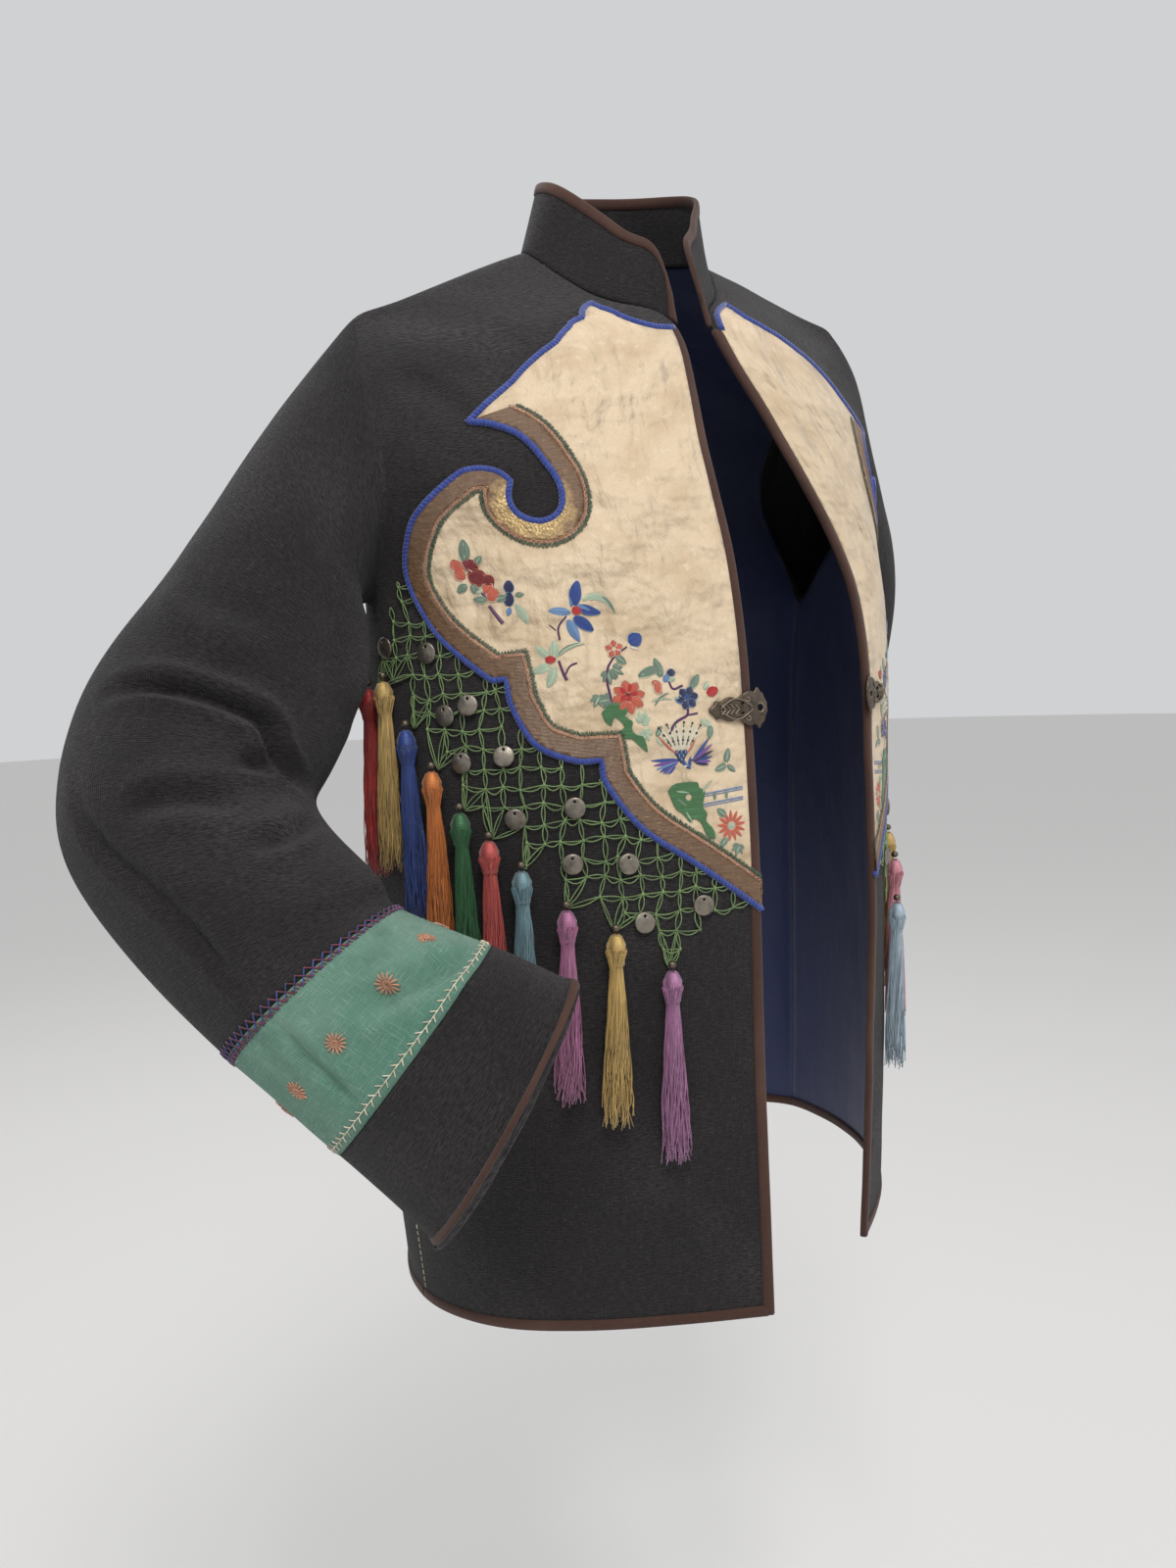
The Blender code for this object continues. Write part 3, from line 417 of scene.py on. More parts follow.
SILK = {
    "red": (0.36, 0.014, 0.012), "yellow": (0.50, 0.33, 0.10), "blue": (0.010, 0.042, 0.22),
    "purple": (0.13, 0.04, 0.22), "orange": (0.54, 0.155, 0.022), "green": (0.012, 0.105, 0.028),
    "coral": (0.44, 0.060, 0.050), "slate": (0.130, 0.235, 0.270), "plum": (0.37, 0.130, 0.255),
    "gold": (0.52, 0.34, 0.10), "pink": (0.60, 0.22, 0.27), "violet": (0.36, 0.150, 0.300),
    "silver": (0.34, 0.44, 0.52),
}
FLOSS = {
    "sage": (0.155, 0.225, 0.165), "pale": (0.40, 0.50, 0.36), "rust": (0.56, 0.11, 0.060),
    "wine": (0.17, 0.006, 0.010), "scarlet": (0.46, 0.014, 0.018), "ink": (0.010, 0.016, 0.070),
    "royal": (0.018, 0.055, 0.26), "sky": (0.13, 0.24, 0.44), "plum_stem": (0.075, 0.010, 0.085),
    "moss": (0.045, 0.16, 0.050), "ivory": (0.75, 0.66, 0.48), "jet": (0.012, 0.010, 0.012),
    "coral_chain": (0.52, 0.25, 0.15), "fuzz": (0.070, 0.120, 0.065), "violet_floss": (0.17, 0.06, 0.30),
    "maroon": (0.15, 0.018, 0.040),
}


# ---- meshes --------------------------------------------------------------------------------------
def add_mesh(name, points, faces, look, uv=None, node=None):
    """A smooth-shaded piece of the jacket. `uv` gives pattern places for each corner, or each point."""
    mesh = bpy.data.meshes.new(name)
    mesh.from_pydata(np.asarray(points, float).tolist(), [], [tuple(map(int, f)) for f in faces])
    mesh.polygons.foreach_set("use_smooth", [True] * len(mesh.polygons))
    if uv is not None:
        uv = np.asarray(uv, float)
        if len(uv) == len(points):
            corner = np.zeros(len(mesh.loops), int)
            mesh.loops.foreach_get("vertex_index", corner)
            uv = uv[corner]
        mesh.uv_layers.new(name="places").data.foreach_set("uv", uv.ravel())
    mesh.materials.append(look)
    made = bpy.data.objects.new(name, mesh)
    bpy.context.scene.collection.objects.link(made)
    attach(made, "root")
    if node:
        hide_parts(*([node] if isinstance(node, str) else node))
    return made


def wall(points, normals, faces, uv, top, bottom):
    """Points, faces and corner places of a closed wall round a sheet of faces."""
    used = np.unique(np.concatenate([np.asarray(f) for f in faces]))
    place = {n: i for i, n in enumerate(used)}
    count = len(used)
    both = np.vstack([points[used] + top * normals[used], points[used] + bottom * normals[used]])
    solid, corners, edges = [], [], {}
    for face, spots in zip(faces, uv):
        face = [place[n] for n in face]
        solid.append(face)
        corners += list(spots)
        solid.append([n + count for n in face[::-1]])
        corners += list(spots[::-1])
        for k in range(len(face)):
            edges[(face[k], face[k - 1])] = spots[k], spots[k - 1]
    for (a, b), (spot_a, spot_b) in edges.items():
        if (b, a) not in edges:
            solid.append([a, b, b + count, a + count])
            corners += [spot_a, spot_b, spot_b, spot_a]
    return both, solid, corners


def tubes(name, lines, radius, look, sides=5, up=None, node=None):
    """Threads of one kind as one piece. `lines` is (threads, steps, 3); `radius` may change along them."""
    lines = np.asarray(lines, float)
    count, steps, _ = lines.shape
    radius = np.broadcast_to(np.asarray(radius, float), (count, steps)) if np.ndim(radius) != 2 else radius
    along = unit(np.gradient(lines, axis=1))
    up = np.broadcast_to(np.array([0.31, 0.17, 0.94]) if up is None else up, lines.shape)
    side = unit(np.cross(along, up))
    other = np.cross(side, along)
    turns = np.arange(sides) * 2 * math.pi / sides
    rings = (lines[:, :, None] + radius[:, :, None, None]
             * (np.cos(turns)[:, None] * side[:, :, None] + np.sin(turns)[:, None] * other[:, :, None]))
    gone = np.concatenate([np.zeros((count, 1)), np.cumsum(np.linalg.norm(np.diff(lines, axis=1), axis=2),
                                                           axis=1)],
                          axis=1)
    uv = np.stack([np.repeat(gone[:, :, None], sides, 2) + np.arange(count)[:, None, None] * 0.013,
                   np.broadcast_to(turns * 0.001, (count, steps, sides))], axis=3)
    start = (np.arange(count)[:, None, None] * steps + np.arange(steps - 1)[None, :, None]) * sides
    k = np.arange(sides)
    nxt = (k + 1) % sides
    faces = np.stack([start + k, start + nxt, start + sides + nxt, start + sides + k], axis=3)
    faces = faces.reshape(-1, 4).tolist()
    first = np.arange(count)[:, None] * steps * sides
    faces += (first + k[::-1]).tolist() + (first + (steps - 1) * sides + k).tolist()
    return add_mesh(name, rings.reshape(-1, 3), faces, look, uv.reshape(-1, 2), node)


def grid_faces(rows, columns, flip=False):
    """The quads of a grid of points, row by row."""
    faces = [[j * columns + i, j * columns + i + 1, (j + 1) * columns + i + 1, (j + 1) * columns + i]
             for j in range(rows - 1) for i in range(columns - 1)]
    return [f[::-1] for f in faces] if flip else faces


def ring_faces(rings, sides):
    """The quads of a tube of rings, each with `sides` points."""
    return [[j * sides + k, j * sides + (k + 1) % sides, (j + 1) * sides + (k + 1) % sides,
             (j + 1) * sides + k]
            for j in range(rings - 1) for k in range(sides)]


def as_rings(outline, holes):
    """Corners of an outline and its holes, and each ring's corner numbers, turning left."""
    coords, rings = [], []
    for ring in (outline, *holes):
        ring = [Vector(p) for p in ring]
        area = sum(a[0] * b[1] - b[0] * a[1] for a, b in zip(ring, ring[1:] + ring[:1]))
        rings.append(list(range(len(coords), len(coords) + len(ring)))[::1 if area > 0 else -1])
        coords += ring
    return coords, rings


def join(pieces):
    """Several pieces of one look made one."""
    points, faces, uv = [], [], []
    for more_points, more_faces, more_uv in pieces:
        faces += [[n + len(points) for n in f] for f in more_faces]
        points += list(more_points)
        uv += list(more_uv)
    return points, faces, uv


# ---- the jacket's skin ---------------------------------------------------------------------------
class Cloth:
    """Smooth cloth from a cage of quads, each belonging to a part and carrying its flat places."""

    def __init__(self):
        self.cage, self.quads, self.part_of, self.spots, self.parts = [], [], [], [], []

    def add(self, point):
        self.cage.append(np.asarray(point, float))
        return len(self.cage) - 1

    def weave(self, part, grid, places, flip=False):
        if part not in self.parts:
            self.parts.append(part)
        for j in range(len(grid) - 1):
            for i in range(len(grid[j]) - 1):
                corners = [(j, i), (j, i + 1), (j + 1, i + 1), (j + 1, i)]
                corners = corners[::-1] if flip else corners
                self.quads.append([grid[b][a] for b, a in corners])
                self.spots.append([places[b][a] for b, a in corners])
                self.part_of.append(self.parts.index(part))

    def smooth(self, levels):
        """Round the cage off and read the fine skin back."""
        mesh = bpy.data.meshes.new("cage")
        mesh.from_pydata([tuple(p) for p in self.cage], [], self.quads)
        mesh.uv_layers.new(name="places").data.foreach_set("uv", np.array(self.spots, float).ravel())
        for part in self.parts:
            mesh.materials.append(bpy.data.materials.new("part_" + part))
        mesh.polygons.foreach_set("material_index", self.part_of)
        cage = bpy.data.objects.new("cage", mesh)
        bpy.context.scene.collection.objects.link(cage)
        rounded = cage.modifiers.new("rounded", "SUBSURF")
        rounded.levels = rounded.render_levels = levels
        rounded.uv_smooth = "NONE"
        rounded.boundary_smooth = "PRESERVE_CORNERS"
        fine = cage.evaluated_get(bpy.context.evaluated_depsgraph_get()).to_mesh()
        self.points = np.array([v.co for v in fine.vertices])
        self.faces = np.array([p.vertices[:] for p in fine.polygons])
        uv = np.zeros(len(fine.loops) * 2)
        fine.uv_layers[0].data.foreach_get("uv", uv)
        self.uv = uv.reshape(-1, 4, 2)
        part = np.zeros(len(fine.polygons), int)
        fine.polygons.foreach_get("material_index", part)
        self.face_part = part
        bpy.data.objects.remove(cage)
        for part in self.parts:
            bpy.data.materials.remove(bpy.data.materials["part_" + part])
        self.settle()

    def settle(self):
        """Work out normals again, and the flat look-up of each part."""
        a, b, c, d = (self.points[self.faces[:, k]] for k in range(4))
        cross = np.cross(c - a, d - b)
        total = np.zeros_like(self.points)
        for k in range(4):
            np.add.at(total, self.faces[:, k], cross)
        self.normals = unit(total)
        self.trees = {}

    def pick(self, *parts):
        chosen = np.isin(self.face_part, [self.parts.index(p) for p in parts])
        return self.faces[chosen], self.uv[chosen]

    def lay(self, part, places, lift=0.0):
        """Points and normals at flat places of a part, moved out by `lift`."""
        if part not in self.trees:
            faces, uv = self.pick(part)
            corners = np.concatenate([faces[:, [0, 1, 2]], faces[:, [0, 2, 3]]])
            spots = np.concatenate([uv[:, [0, 1, 2]], uv[:, [0, 2, 3]]])
            flat = np.concatenate([spots, np.zeros((len(spots), 3, 1))], axis=2).reshape(-1, 3)
            tree = BVHTree.FromPolygons(flat.tolist(), np.arange(len(flat)).reshape(-1, 3).tolist())
            self.trees[part] = tree, corners, spots
        tree, corners, spots = self.trees[part]
        places = np.asarray(places, float)
        shape = places.shape[:-1]
        found = [tree.find_nearest((u, v, 0.0)) for u, v in places.reshape(-1, 2)]
        index = np.array([f[2] for f in found])
        near = np.array([f[0][:2] for f in found])
        a, b, c = (spots[index, k] for k in range(3))
        e1, e2, e = b - a, c - a, near - a
        area = e1[:, 0] * e2[:, 1] - e1[:, 1] * e2[:, 0]
        area = np.where(abs(area) < 1e-14, 1e-14, area)
        u = (e[:, 0] * e2[:, 1] - e[:, 1] * e2[:, 0]) / area
        v = (e1[:, 0] * e[:, 1] - e1[:, 1] * e[:, 0]) / area
        shares = np.stack([1 - u - v, u, v], axis=1)[:, :, None]
        points = (self.points[corners[index]] * shares).sum(1).reshape(*shape, 3)
        normals = unit((self.normals[corners[index]] * shares).sum(1)).reshape(*shape, 3)
        return points + np.asarray(lift)[..., None] * normals, normals

    def piece(self, name, parts, top, bottom, look, node):
        faces, uv = self.pick(*parts)
        points, solid, corners = wall(self.points, self.normals, faces, uv, top, bottom)
        return add_mesh(name, points, solid, look, corners, node)


ROW_SPLIT, COLUMNS, SLEEVE_SPLIT = 3, 12, 4          # cage facets for each table row, half body and section
LEVELS = 2
GIRTH = 0.45                                         # flat measure round a sleeve


def sided(point, side):
    return np.array([side * point[0], point[1], point[2]])


def sleeve_rings(sections, side, count):
    """Rings of points down a sleeve: over the arm, down its front, under the arm, up its back."""
    middles = [(np.array(s.over) + np.array(s.under)) / 2 for s in sections]
    turns = np.arange(count) * 2 * math.pi / count
    rings = []
    for i, s in enumerate(sections):
        axis = middles[min(i + 1, len(middles) - 1)] - middles[max(i - 1, 0)]
        fold = (np.array(s.over) - np.array(s.under)) / 2
        open_way = side * s.depth * unit(np.cross(axis, fold)) + s.lean * unit(axis)
        rings.append(middles[i] + np.cos(turns)[:, None] * fold + np.sin(turns)[:, None] * open_way)
    return rings


def weave_half(cloth, hand, rows, back_rows, sections, centre):
    """One half of the jacket: front, half the back and sleeve, sharing their seams. Returns its neckline."""
    side = SIDES[hand]
    steps = [i / ROW_SPLIT for i in range(LAST * ROW_SPLIT + 1)]
    shares = [i / COLUMNS for i in range(COLUMNS + 1)]
    front, front_places, back, back_places = [], [], [], []
    for t in steps:
        row = row_at(rows, t)
        front.append([cloth.add(sided(row_line(row, s), side)) for s in shares])
        front_places.append([(arc_length(row, s), row.z) for s in shares])
    for j, t in enumerate(steps):
        row = row_at(back_rows, t) if t <= NECK else row_at(back_rows[NECK:], t - NECK)
        if t <= PIT or j == len(steps) - 1:
            seam = sided(cloth.cage[front[j][-1]], side)
            row = row._replace(end_out=seam[0], end_y=seam[1], end_z=seam[2])
        line = [centre[j]] if j < len(centre) else [cloth.add(sided(row_line(row, 0.0), side))]
        line += [cloth.add(sided(row_line(row, s), side)) for s in shares[1:-1]]
        line.append(front[j][-1] if t <= PIT else cloth.add(sided(row_line(row, 1.0), side)))
        back.append(line)
        back_places.append([(side * arc_length(row, s), row.z) for s in shares])
    back[-1] = front[-1]
    right = side < 0
    cloth.weave("front_" + hand, front, front_places, right)
    cloth.weave("back", back, back_places, not right)

    pit = PIT * ROW_SPLIT
    armhole = [row[-1] for row in front[:pit - 1:-1]] + [row[-1] for row in back[pit + 1:-1]]
    count = len(armhole)
    rings = [np.array([cloth.cage[n] for n in armhole])] + sleeve_rings(sections, side, count)
    grid, places, gone, before = [armhole + armhole[:1]], [], 0.0, rings[0]
    places.append([(GIRTH * k / count, 0.0) for k in range(count + 1)])
    for i in range(1, CUFF * SLEEVE_SPLIT + 1):
        ring = catmull(rings, i / SLEEVE_SPLIT)
        gone += np.linalg.norm(ring - before, axis=1).mean()
        before = ring
        numbers = [cloth.add(p) for p in ring]
        grid.append(numbers + numbers[:1])
        places.append([(GIRTH * k / count, gone) for k in range(count + 1)])
    marks = {"sleeve_": (0, BAND_TOP), "band_": (BAND_TOP, BAND_LOW), "cuff_": (BAND_LOW, CUFF)}
    for part, (first, last) in marks.items():
        piece = slice(first * SLEEVE_SPLIT, last * SLEEVE_SPLIT + 1)
        cloth.weave(part + hand, grid[piece], places[piece], right)
    ends = {part: places[last * SLEEVE_SPLIT][0][1] for part, (_, last) in marks.items()}
    neck = NECK * ROW_SPLIT
    return [row[0] for row in front[neck:]], [row[0] for row in back[-2:neck - 1:-1]], ends


def crease(cloth, part, places, width, depth):
    """Press a trough into the cloth along a line of flat places, with a soft ridge on both sides."""
    line, ways = cloth.lay(part, smooth_line(places, 0.006))
    a, b = line[:-1], line[1:]
    reach = 4 * width
    low, high = line.min(0) - reach, line.max(0) + reach
    near = np.nonzero(((cloth.points > low) & (cloth.points < high)).all(1))[0]
    p = cloth.points[near][:, None]
    share = np.clip(((p - a) * (b - a)).sum(2) / ((b - a) ** 2).sum(1), 0, 1)
    away = np.linalg.norm(p - a - share[:, :, None] * (b - a), axis=2)
    best = away.argmin(1)
    rows = np.arange(len(near))
    run = (best + share[rows, best]) / len(a)
    away = away[rows, best] / width
    same = (cloth.normals[near] * ways[best]).sum(1) > 0.3
    fade = np.clip(4 * run, 0, 1) * np.clip(4 * (1 - run), 0, 1) * same
    shape = -np.exp(-away ** 2) + 0.45 * np.exp(-((away - 1.7) / 0.8) ** 2)
    cloth.points[near] += (depth * fade * shape)[:, None] * cloth.normals[near]


def loosen(cloth):
    """The slight waviness of cloth that hangs free."""
    for n, p in enumerate(cloth.points):
        spot = Vector(p)
        wave = 0.0016 * noise.noise(spot * 9.0) + 0.0006 * noise.noise(spot * 27.0)
        cloth.points[n] = p + wave * cloth.normals[n]


def make_collar(jacket, necklines):
    """The stand collar as its own cloth; flat places are the distance along its foot, and height."""
    foot = [jacket.cage[n] for n in necklines]
    middle = sum(foot) / len(foot)
    gone = np.concatenate([[0], np.cumsum([np.linalg.norm(b - a) for a, b in zip(foot, foot[1:])])])
    collar, grid, places = Cloth(), [[] for _ in range(5)], [[] for _ in range(5)]
    for i, p in enumerate(foot):
        along = unit(foot[min(i + 1, len(foot) - 1)] - foot[max(i - 1, 0)])
        inward = unit((middle - p) * [1, 1, 0])
        ease = min(min(gone[i], gone[-1] - gone[i]) / COLLAR_ROUND, 1.0)
        rise = np.array([0.0, 0.0, 1.0])
        rise = unit(rise - COLLAR_SWING * ease * rise.dot(along) * along + COLLAR_LEAN * inward)
        height = COLLAR_HEIGHT * (COLLAR_FRONT + (1 - COLLAR_FRONT) * math.sqrt(1 - (1 - ease) ** 2))
        for k in range(5):
            grid[k].append(collar.add(p + height * k / 4 * rise))
            places[k].append((gone[i], height * k / 4))
    collar.weave("collar", grid, places, True)
    collar.smooth(LEVELS)
    return collar, gone[-1], places


# ---- what is laid on the cloth -------------------------------------------------------------------
BINDING_PROFILE = [(0.00, -0.0002), (0.03, 0.0009), (0.50, 0.0012), (0.90, 0.0010), (1.08, -0.0002),
                   (1.13, -0.0016), (1.08, -0.0032), (0.90, -0.0044), (0.50, -0.0046), (0.03, -0.0043),
                   (0.00, -0.0034)]         # share of the way from the inner line to the edge, lift


def binding(name, cloth, part, edge, inner, look, node, deep=1.0):
    """A bias strip folded round a cloth edge. `edge` and `inner` are matching flat places."""
    outer, ways = cloth.lay(part, edge)
    start, start_ways = cloth.lay(part, inner)
    ways = unit(ways + start_ways)
    rings = np.stack([start + s * (outer - start) + (h if h > 0 else h * deep) * ways for s,
                      h in BINDING_PROFILE], 1)
    steps, sides = rings.shape[:2]
    gone = np.concatenate([[0], np.cumsum(np.linalg.norm(np.diff(outer, axis=0), axis=1))])
    uv = [(g, k * 0.0016) for g in gone for k in range(sides)]
    faces = ring_faces(steps, sides)
    faces += [list(range(sides))[::-1], [(steps - 1) * sides + k for k in range(sides)]]
    return add_mesh(name, rings.reshape(-1, 3), faces, look, uv, node)


def patch(cloth, part, outline, top, bottom, step, holes=()):
    """A closed piece lying on the cloth: a flat outline filled with small triangles."""
    outline = np.asarray(outline, float)
    low, high = outline.min(0), outline.max(0)
    grid = [(x + (j % 2) * step / 2, y) for j, y in enumerate(np.arange(low[1], high[1], step * 0.87))
            for x in np.arange(low[0], high[0], step)]
    coords, rings = as_rings(outline, holes)
    found = delaunay_2d_cdt(coords + [Vector(p) for p in grid], [], rings, 0, 1e-6)
    faces = [f for f, source in zip(found[2], found[5]) if list(source) == [0]]
    if part.endswith("right"):
        faces = [f[::-1] for f in faces]
    spots = np.array([tuple(p) for p in found[0]])
    used = sorted({n for f in faces for n in f})
    points, normals = np.zeros((len(spots), 3)), np.zeros((len(spots), 3))
    points[used], normals[used] = cloth.lay(part, spots[used])
    return wall(points, normals, faces, [[tuple(spots[n]) for n in f] for f in faces], top, bottom)


def outline_points(strokes, step=0.003):
    path = [np.array([strokes[0][0]])]
    for stroke in strokes:
        path.append(smooth_line(stroke, step)[1:])
    return np.concatenate(path)


def evenly(path, step):
    """Points every `step` along a path, with the way at each."""
    gone = np.concatenate([[0], np.cumsum(np.linalg.norm(np.diff(path, axis=0), axis=1))])
    marks = np.arange(step / 2, gone[-1], step)
    spots = np.stack([np.interp(marks, gone, path[:, k]) for k in range(2)], axis=1)
    ahead = np.stack([np.interp(marks + step / 4, gone, path[:, k]) for k in range(2)], axis=1)
    return spots, unit(ahead - spots)


ON_CLOTH, ON_SATIN, ON_RIBBON = 0.0003, 0.0014, 0.0027
CHAIN_IN, FUZZ_IN = PIPING + RIBBON_WIDTH + 0.0010, PIPING + RIBBON_WIDTH + 0.0036


def inset(path, distance, rows):
    """A panel edge moved into the panel, worked out upright: flat places lean with the neckline."""
    levels, outs = np.array([(row_at(rows, t).z, row_at(rows, t).out) for t in np.linspace(0, LAST, 60)]).T
    lean = np.column_stack([np.interp(path[:, 1], levels, outs), np.zeros(len(path))])
    moved = offset_path(path + lean, -distance)
    return moved - np.column_stack([np.interp(moved[:, 1], levels, outs), np.zeros(len(moved))])


def make_panel(jacket, hand, looks):
    """The cream panel, its piping and ribbon, and the two stitched lines inside the ribbon."""
    part, rows = "front_" + hand, FRONT_RIGHT if hand == "right" else FRONT_LEFT
    edge = outline_points(PANEL_TOP[hand] + PANEL)
    satin = inset(edge, PIPING * 0.4, rows)
    front = np.linspace(satin[-1][1] + 0.006, -0.0750, 100)
    satin = np.vstack([satin, np.column_stack([np.full(len(front), 0.0070), front])])
    points, faces, uv = patch(jacket, part, satin, ON_SATIN, ON_CLOTH, 0.004)
    panel = add_mesh("satin_" + hand, points, faces, looks["satin"], uv, "satin_panel_" + hand)

    cord, ways = jacket.lay(part, inset(edge, PIPING / 2, rows), 0.0013)
    cord_piece = tubes("cord_" + hand, cord[None], PIPING / 2, looks["piping"], 12, ways[None], "piping_"
                       + hand)

    low = outline_points(PANEL)
    outer = offset_path(low, -PIPING * 0.8, edge)
    inner = offset_path(low, -PIPING - RIBBON_WIDTH, edge)
    points, faces, uv = patch(jacket, part, np.vstack([outer, inner[::-1]]), ON_RIBBON, ON_SATIN, 0.004)
    made = add_mesh("foil_ribbon_" + hand, points, faces, looks["ribbon"], uv, "ribbon_" + hand)

    spots, way = evenly(offset_path(low, -CHAIN_IN, edge), 0.0033)
    cross = np.stack([-way[:, 1], way[:, 0]], axis=1)
    t = np.linspace(0, 1, 6)[None, :, None]
    links = [spots[:, None] + way[:, None] * (t - 0.5) * 0.0046
             + side * cross[:, None] * 0.0008 * np.sin(t * math.pi)
             for side in (-1, 1)]
    links = np.concatenate(links)
    points, ways = jacket.lay(part, links, ON_RIBBON + 0.0001)
    tubes("chain_stitch_" + hand, points, 0.00030, looks["floss"]["coral_chain"], 4, ways)

    spots, way = evenly(offset_path(low, -FUZZ_IN, edge), 0.0009)
    cross = np.stack([-way[:, 1], way[:, 0]], axis=1)
    lean = chance.normal(0, 0.35, (len(spots), 1))
    reach = chance.uniform(0.0009, 0.0019, (len(spots), 1))
    t = np.linspace(-1, 1, 4)[None, :, None]
    hairs = spots[:, None] + (cross + lean * way)[:, None] * reach[:, None] * t
    lift = ON_SATIN + 0.0003 + 0.0004 * (1 - t[..., 0] ** 2) + chance.uniform(0, 0.0004, (len(spots), 1))
    points, ways = jacket.lay(part, hairs, lift)
    tubes("fuzzy_line_" + hand, points, 0.00038, looks["floss"]["fuzz"], 3, ways)
    return edge


# ---- the knotted net and its tassels -------------------------------------------------------------
CELL = 0.0130
NET_TOP = [(0.283, -0.312), (0.270, -0.288), (0.246, -0.246), (0.238, -0.237)]
NET_SAG, NET_PART, NET_THREAD = 0.0016, 0.0014, 0.00042
DISCS = [(0.2656, -0.293), (0.2280, -0.298), (0.2000, -0.335), (0.2170, -0.342), (0.2070, -0.374),
         (0.1775, -0.370), (0.1718, -0.413), (0.1320, -0.407), (0.1350, -0.445), (0.0968, -0.447),
         (0.0444, -0.480), (0.0868, -0.488)]
DISC_RADIUS = 0.0074


def net_bounds(edge):
    """Highest and lowest level of the net at a distance out, as two functions."""
    widest = edge[:, 0].argmax()
    top = np.vstack([edge[widest:][::-1], NET_TOP[::-1]])
    tips = [(0.0, -0.4935)] + [(t.out, t.level) for t in TASSELS[::-1]]
    hem = []
    for a, b in zip(tips, tips[1:]):
        hem += [a, ((a[0] + b[0]) / 2, max(a[1], b[1]) + 0.010)]
    hem = np.array(hem + tips[-1:])
    top = top[top[:, 0].argsort(kind="stable")]
    return lambda x: np.interp(x, top[:, 0], top[:, 1]), lambda x: np.interp(x, hem[:, 0], hem[:, 1])


def make_net(jacket, hand, edge, looks):
    part = "front_" + hand
    ceiling, floor = net_bounds(edge)
    outs = np.arange(0.010, 0.280, CELL)
    levels = np.arange(-0.235, -0.525, -CELL)
    knots = {}
    for i, x in enumerate(outs):
        for j, z in enumerate(levels):
            if floor(x) + 0.002 < z < ceiling(x) - 0.002:
                drift = chance.normal(0, 0.0014, 2)
                knots[i, j] = np.array([x, z]) + drift
    threads = []

    def pair(a, b, sag):
        t = np.linspace(0, 1, 7)[:, None]
        line = a + (b - a) * t
        across = unit(np.array([-(b - a)[1], (b - a)[0]]))
        bow = np.sin(t * math.pi)
        line = line - np.array([0, 1.0]) * sag * bow * chance.uniform(0.5, 1.5)
        for way in (-1, 1):
            threads.append(line + way * across * NET_PART * bow * chance.uniform(0.3, 1.6))

    for (i, j), spot in knots.items():
        if (i + 1, j) in knots:
            pair(spot, knots[i + 1, j], NET_SAG)
        if (i, j + 1) in knots:
            pair(spot, knots[i, j + 1], 0.0)
        if (i, j - 1) not in knots:
            pair(np.array([spot[0], ceiling(spot[0]) + 0.002]), spot, 0.0)
        if (i - 1, j) not in knots and i > 0 and ceiling(outs[i - 1]) < levels[j]:
            pair(np.array([spot[0] - CELL, spot[1] + 0.003]), spot, NET_SAG)
    spots = np.array(list(knots.values()))
    for tassel in TASSELS:
        tip = np.array([tassel.out, tassel.level])
        close = spots[spots[:, 1] > tip[1] + 0.002]
        order = np.hypot(close[:, 0] - tip[0], 0.8 * (close[:, 1] - tip[1])).argsort()[:4]
        for n in order:
            pair(close[n], tip, 0.0)
    threads = np.array(threads)
    lift = (0.0012 + 0.0006 * np.sin(np.linspace(0, math.pi, 7))
            + chance.uniform(0, 0.0006, (len(threads), 1)))
    points, ways = jacket.lay(part, threads, lift)
    net = tubes("net_threads_" + hand, points, NET_THREAD, looks["net"], 4, ways, "net_" + hand)
    t = np.linspace(-1, 1, 5)[None, :, None]
    dots = spots[:, None] + np.array([0.0, 1.0]) * t * 0.0014
    points, ways = jacket.lay(part, dots, 0.0018)
    tubes("net_knots_" + hand, points, np.array([0.0004, 0.0010, 0.0012, 0.0010, 0.0004]), looks["net"], 6,
          ways)


def make_discs(jacket, hand, looks):
    """Thin domed pewter discs, each with a hole near its top, lying over the net."""
    pieces = []
    turns = np.linspace(0, 2 * math.pi, 29)[:-1]
    ring = np.stack([np.cos(turns), np.sin(turns)], axis=1)
    for x, z in DISCS:
        centre, normal = jacket.lay("front_" + hand, [(x, z)], 0.0040)
        normal = unit(normal[0] + chance.normal(0, 0.10, 3))
        side = unit(np.cross([0, 0, 1.0], normal))
        up = np.cross(normal, side)
        points, faces, uv = plate(ring * DISC_RADIUS, [ring[::3] * 0.0011 + [0.0, DISC_RADIUS - 0.0030]],
                                  0.0007, 0.0013)
        world = centre[0] + points[:, :1] * side + points[:, 1:2] * up + points[:, 2:] * normal
        pieces.append((world, faces, uv + np.array([x, z])))
    points, faces, uv = join(pieces)
    made = add_mesh("discs_" + hand, points, faces, looks["disc"], uv)


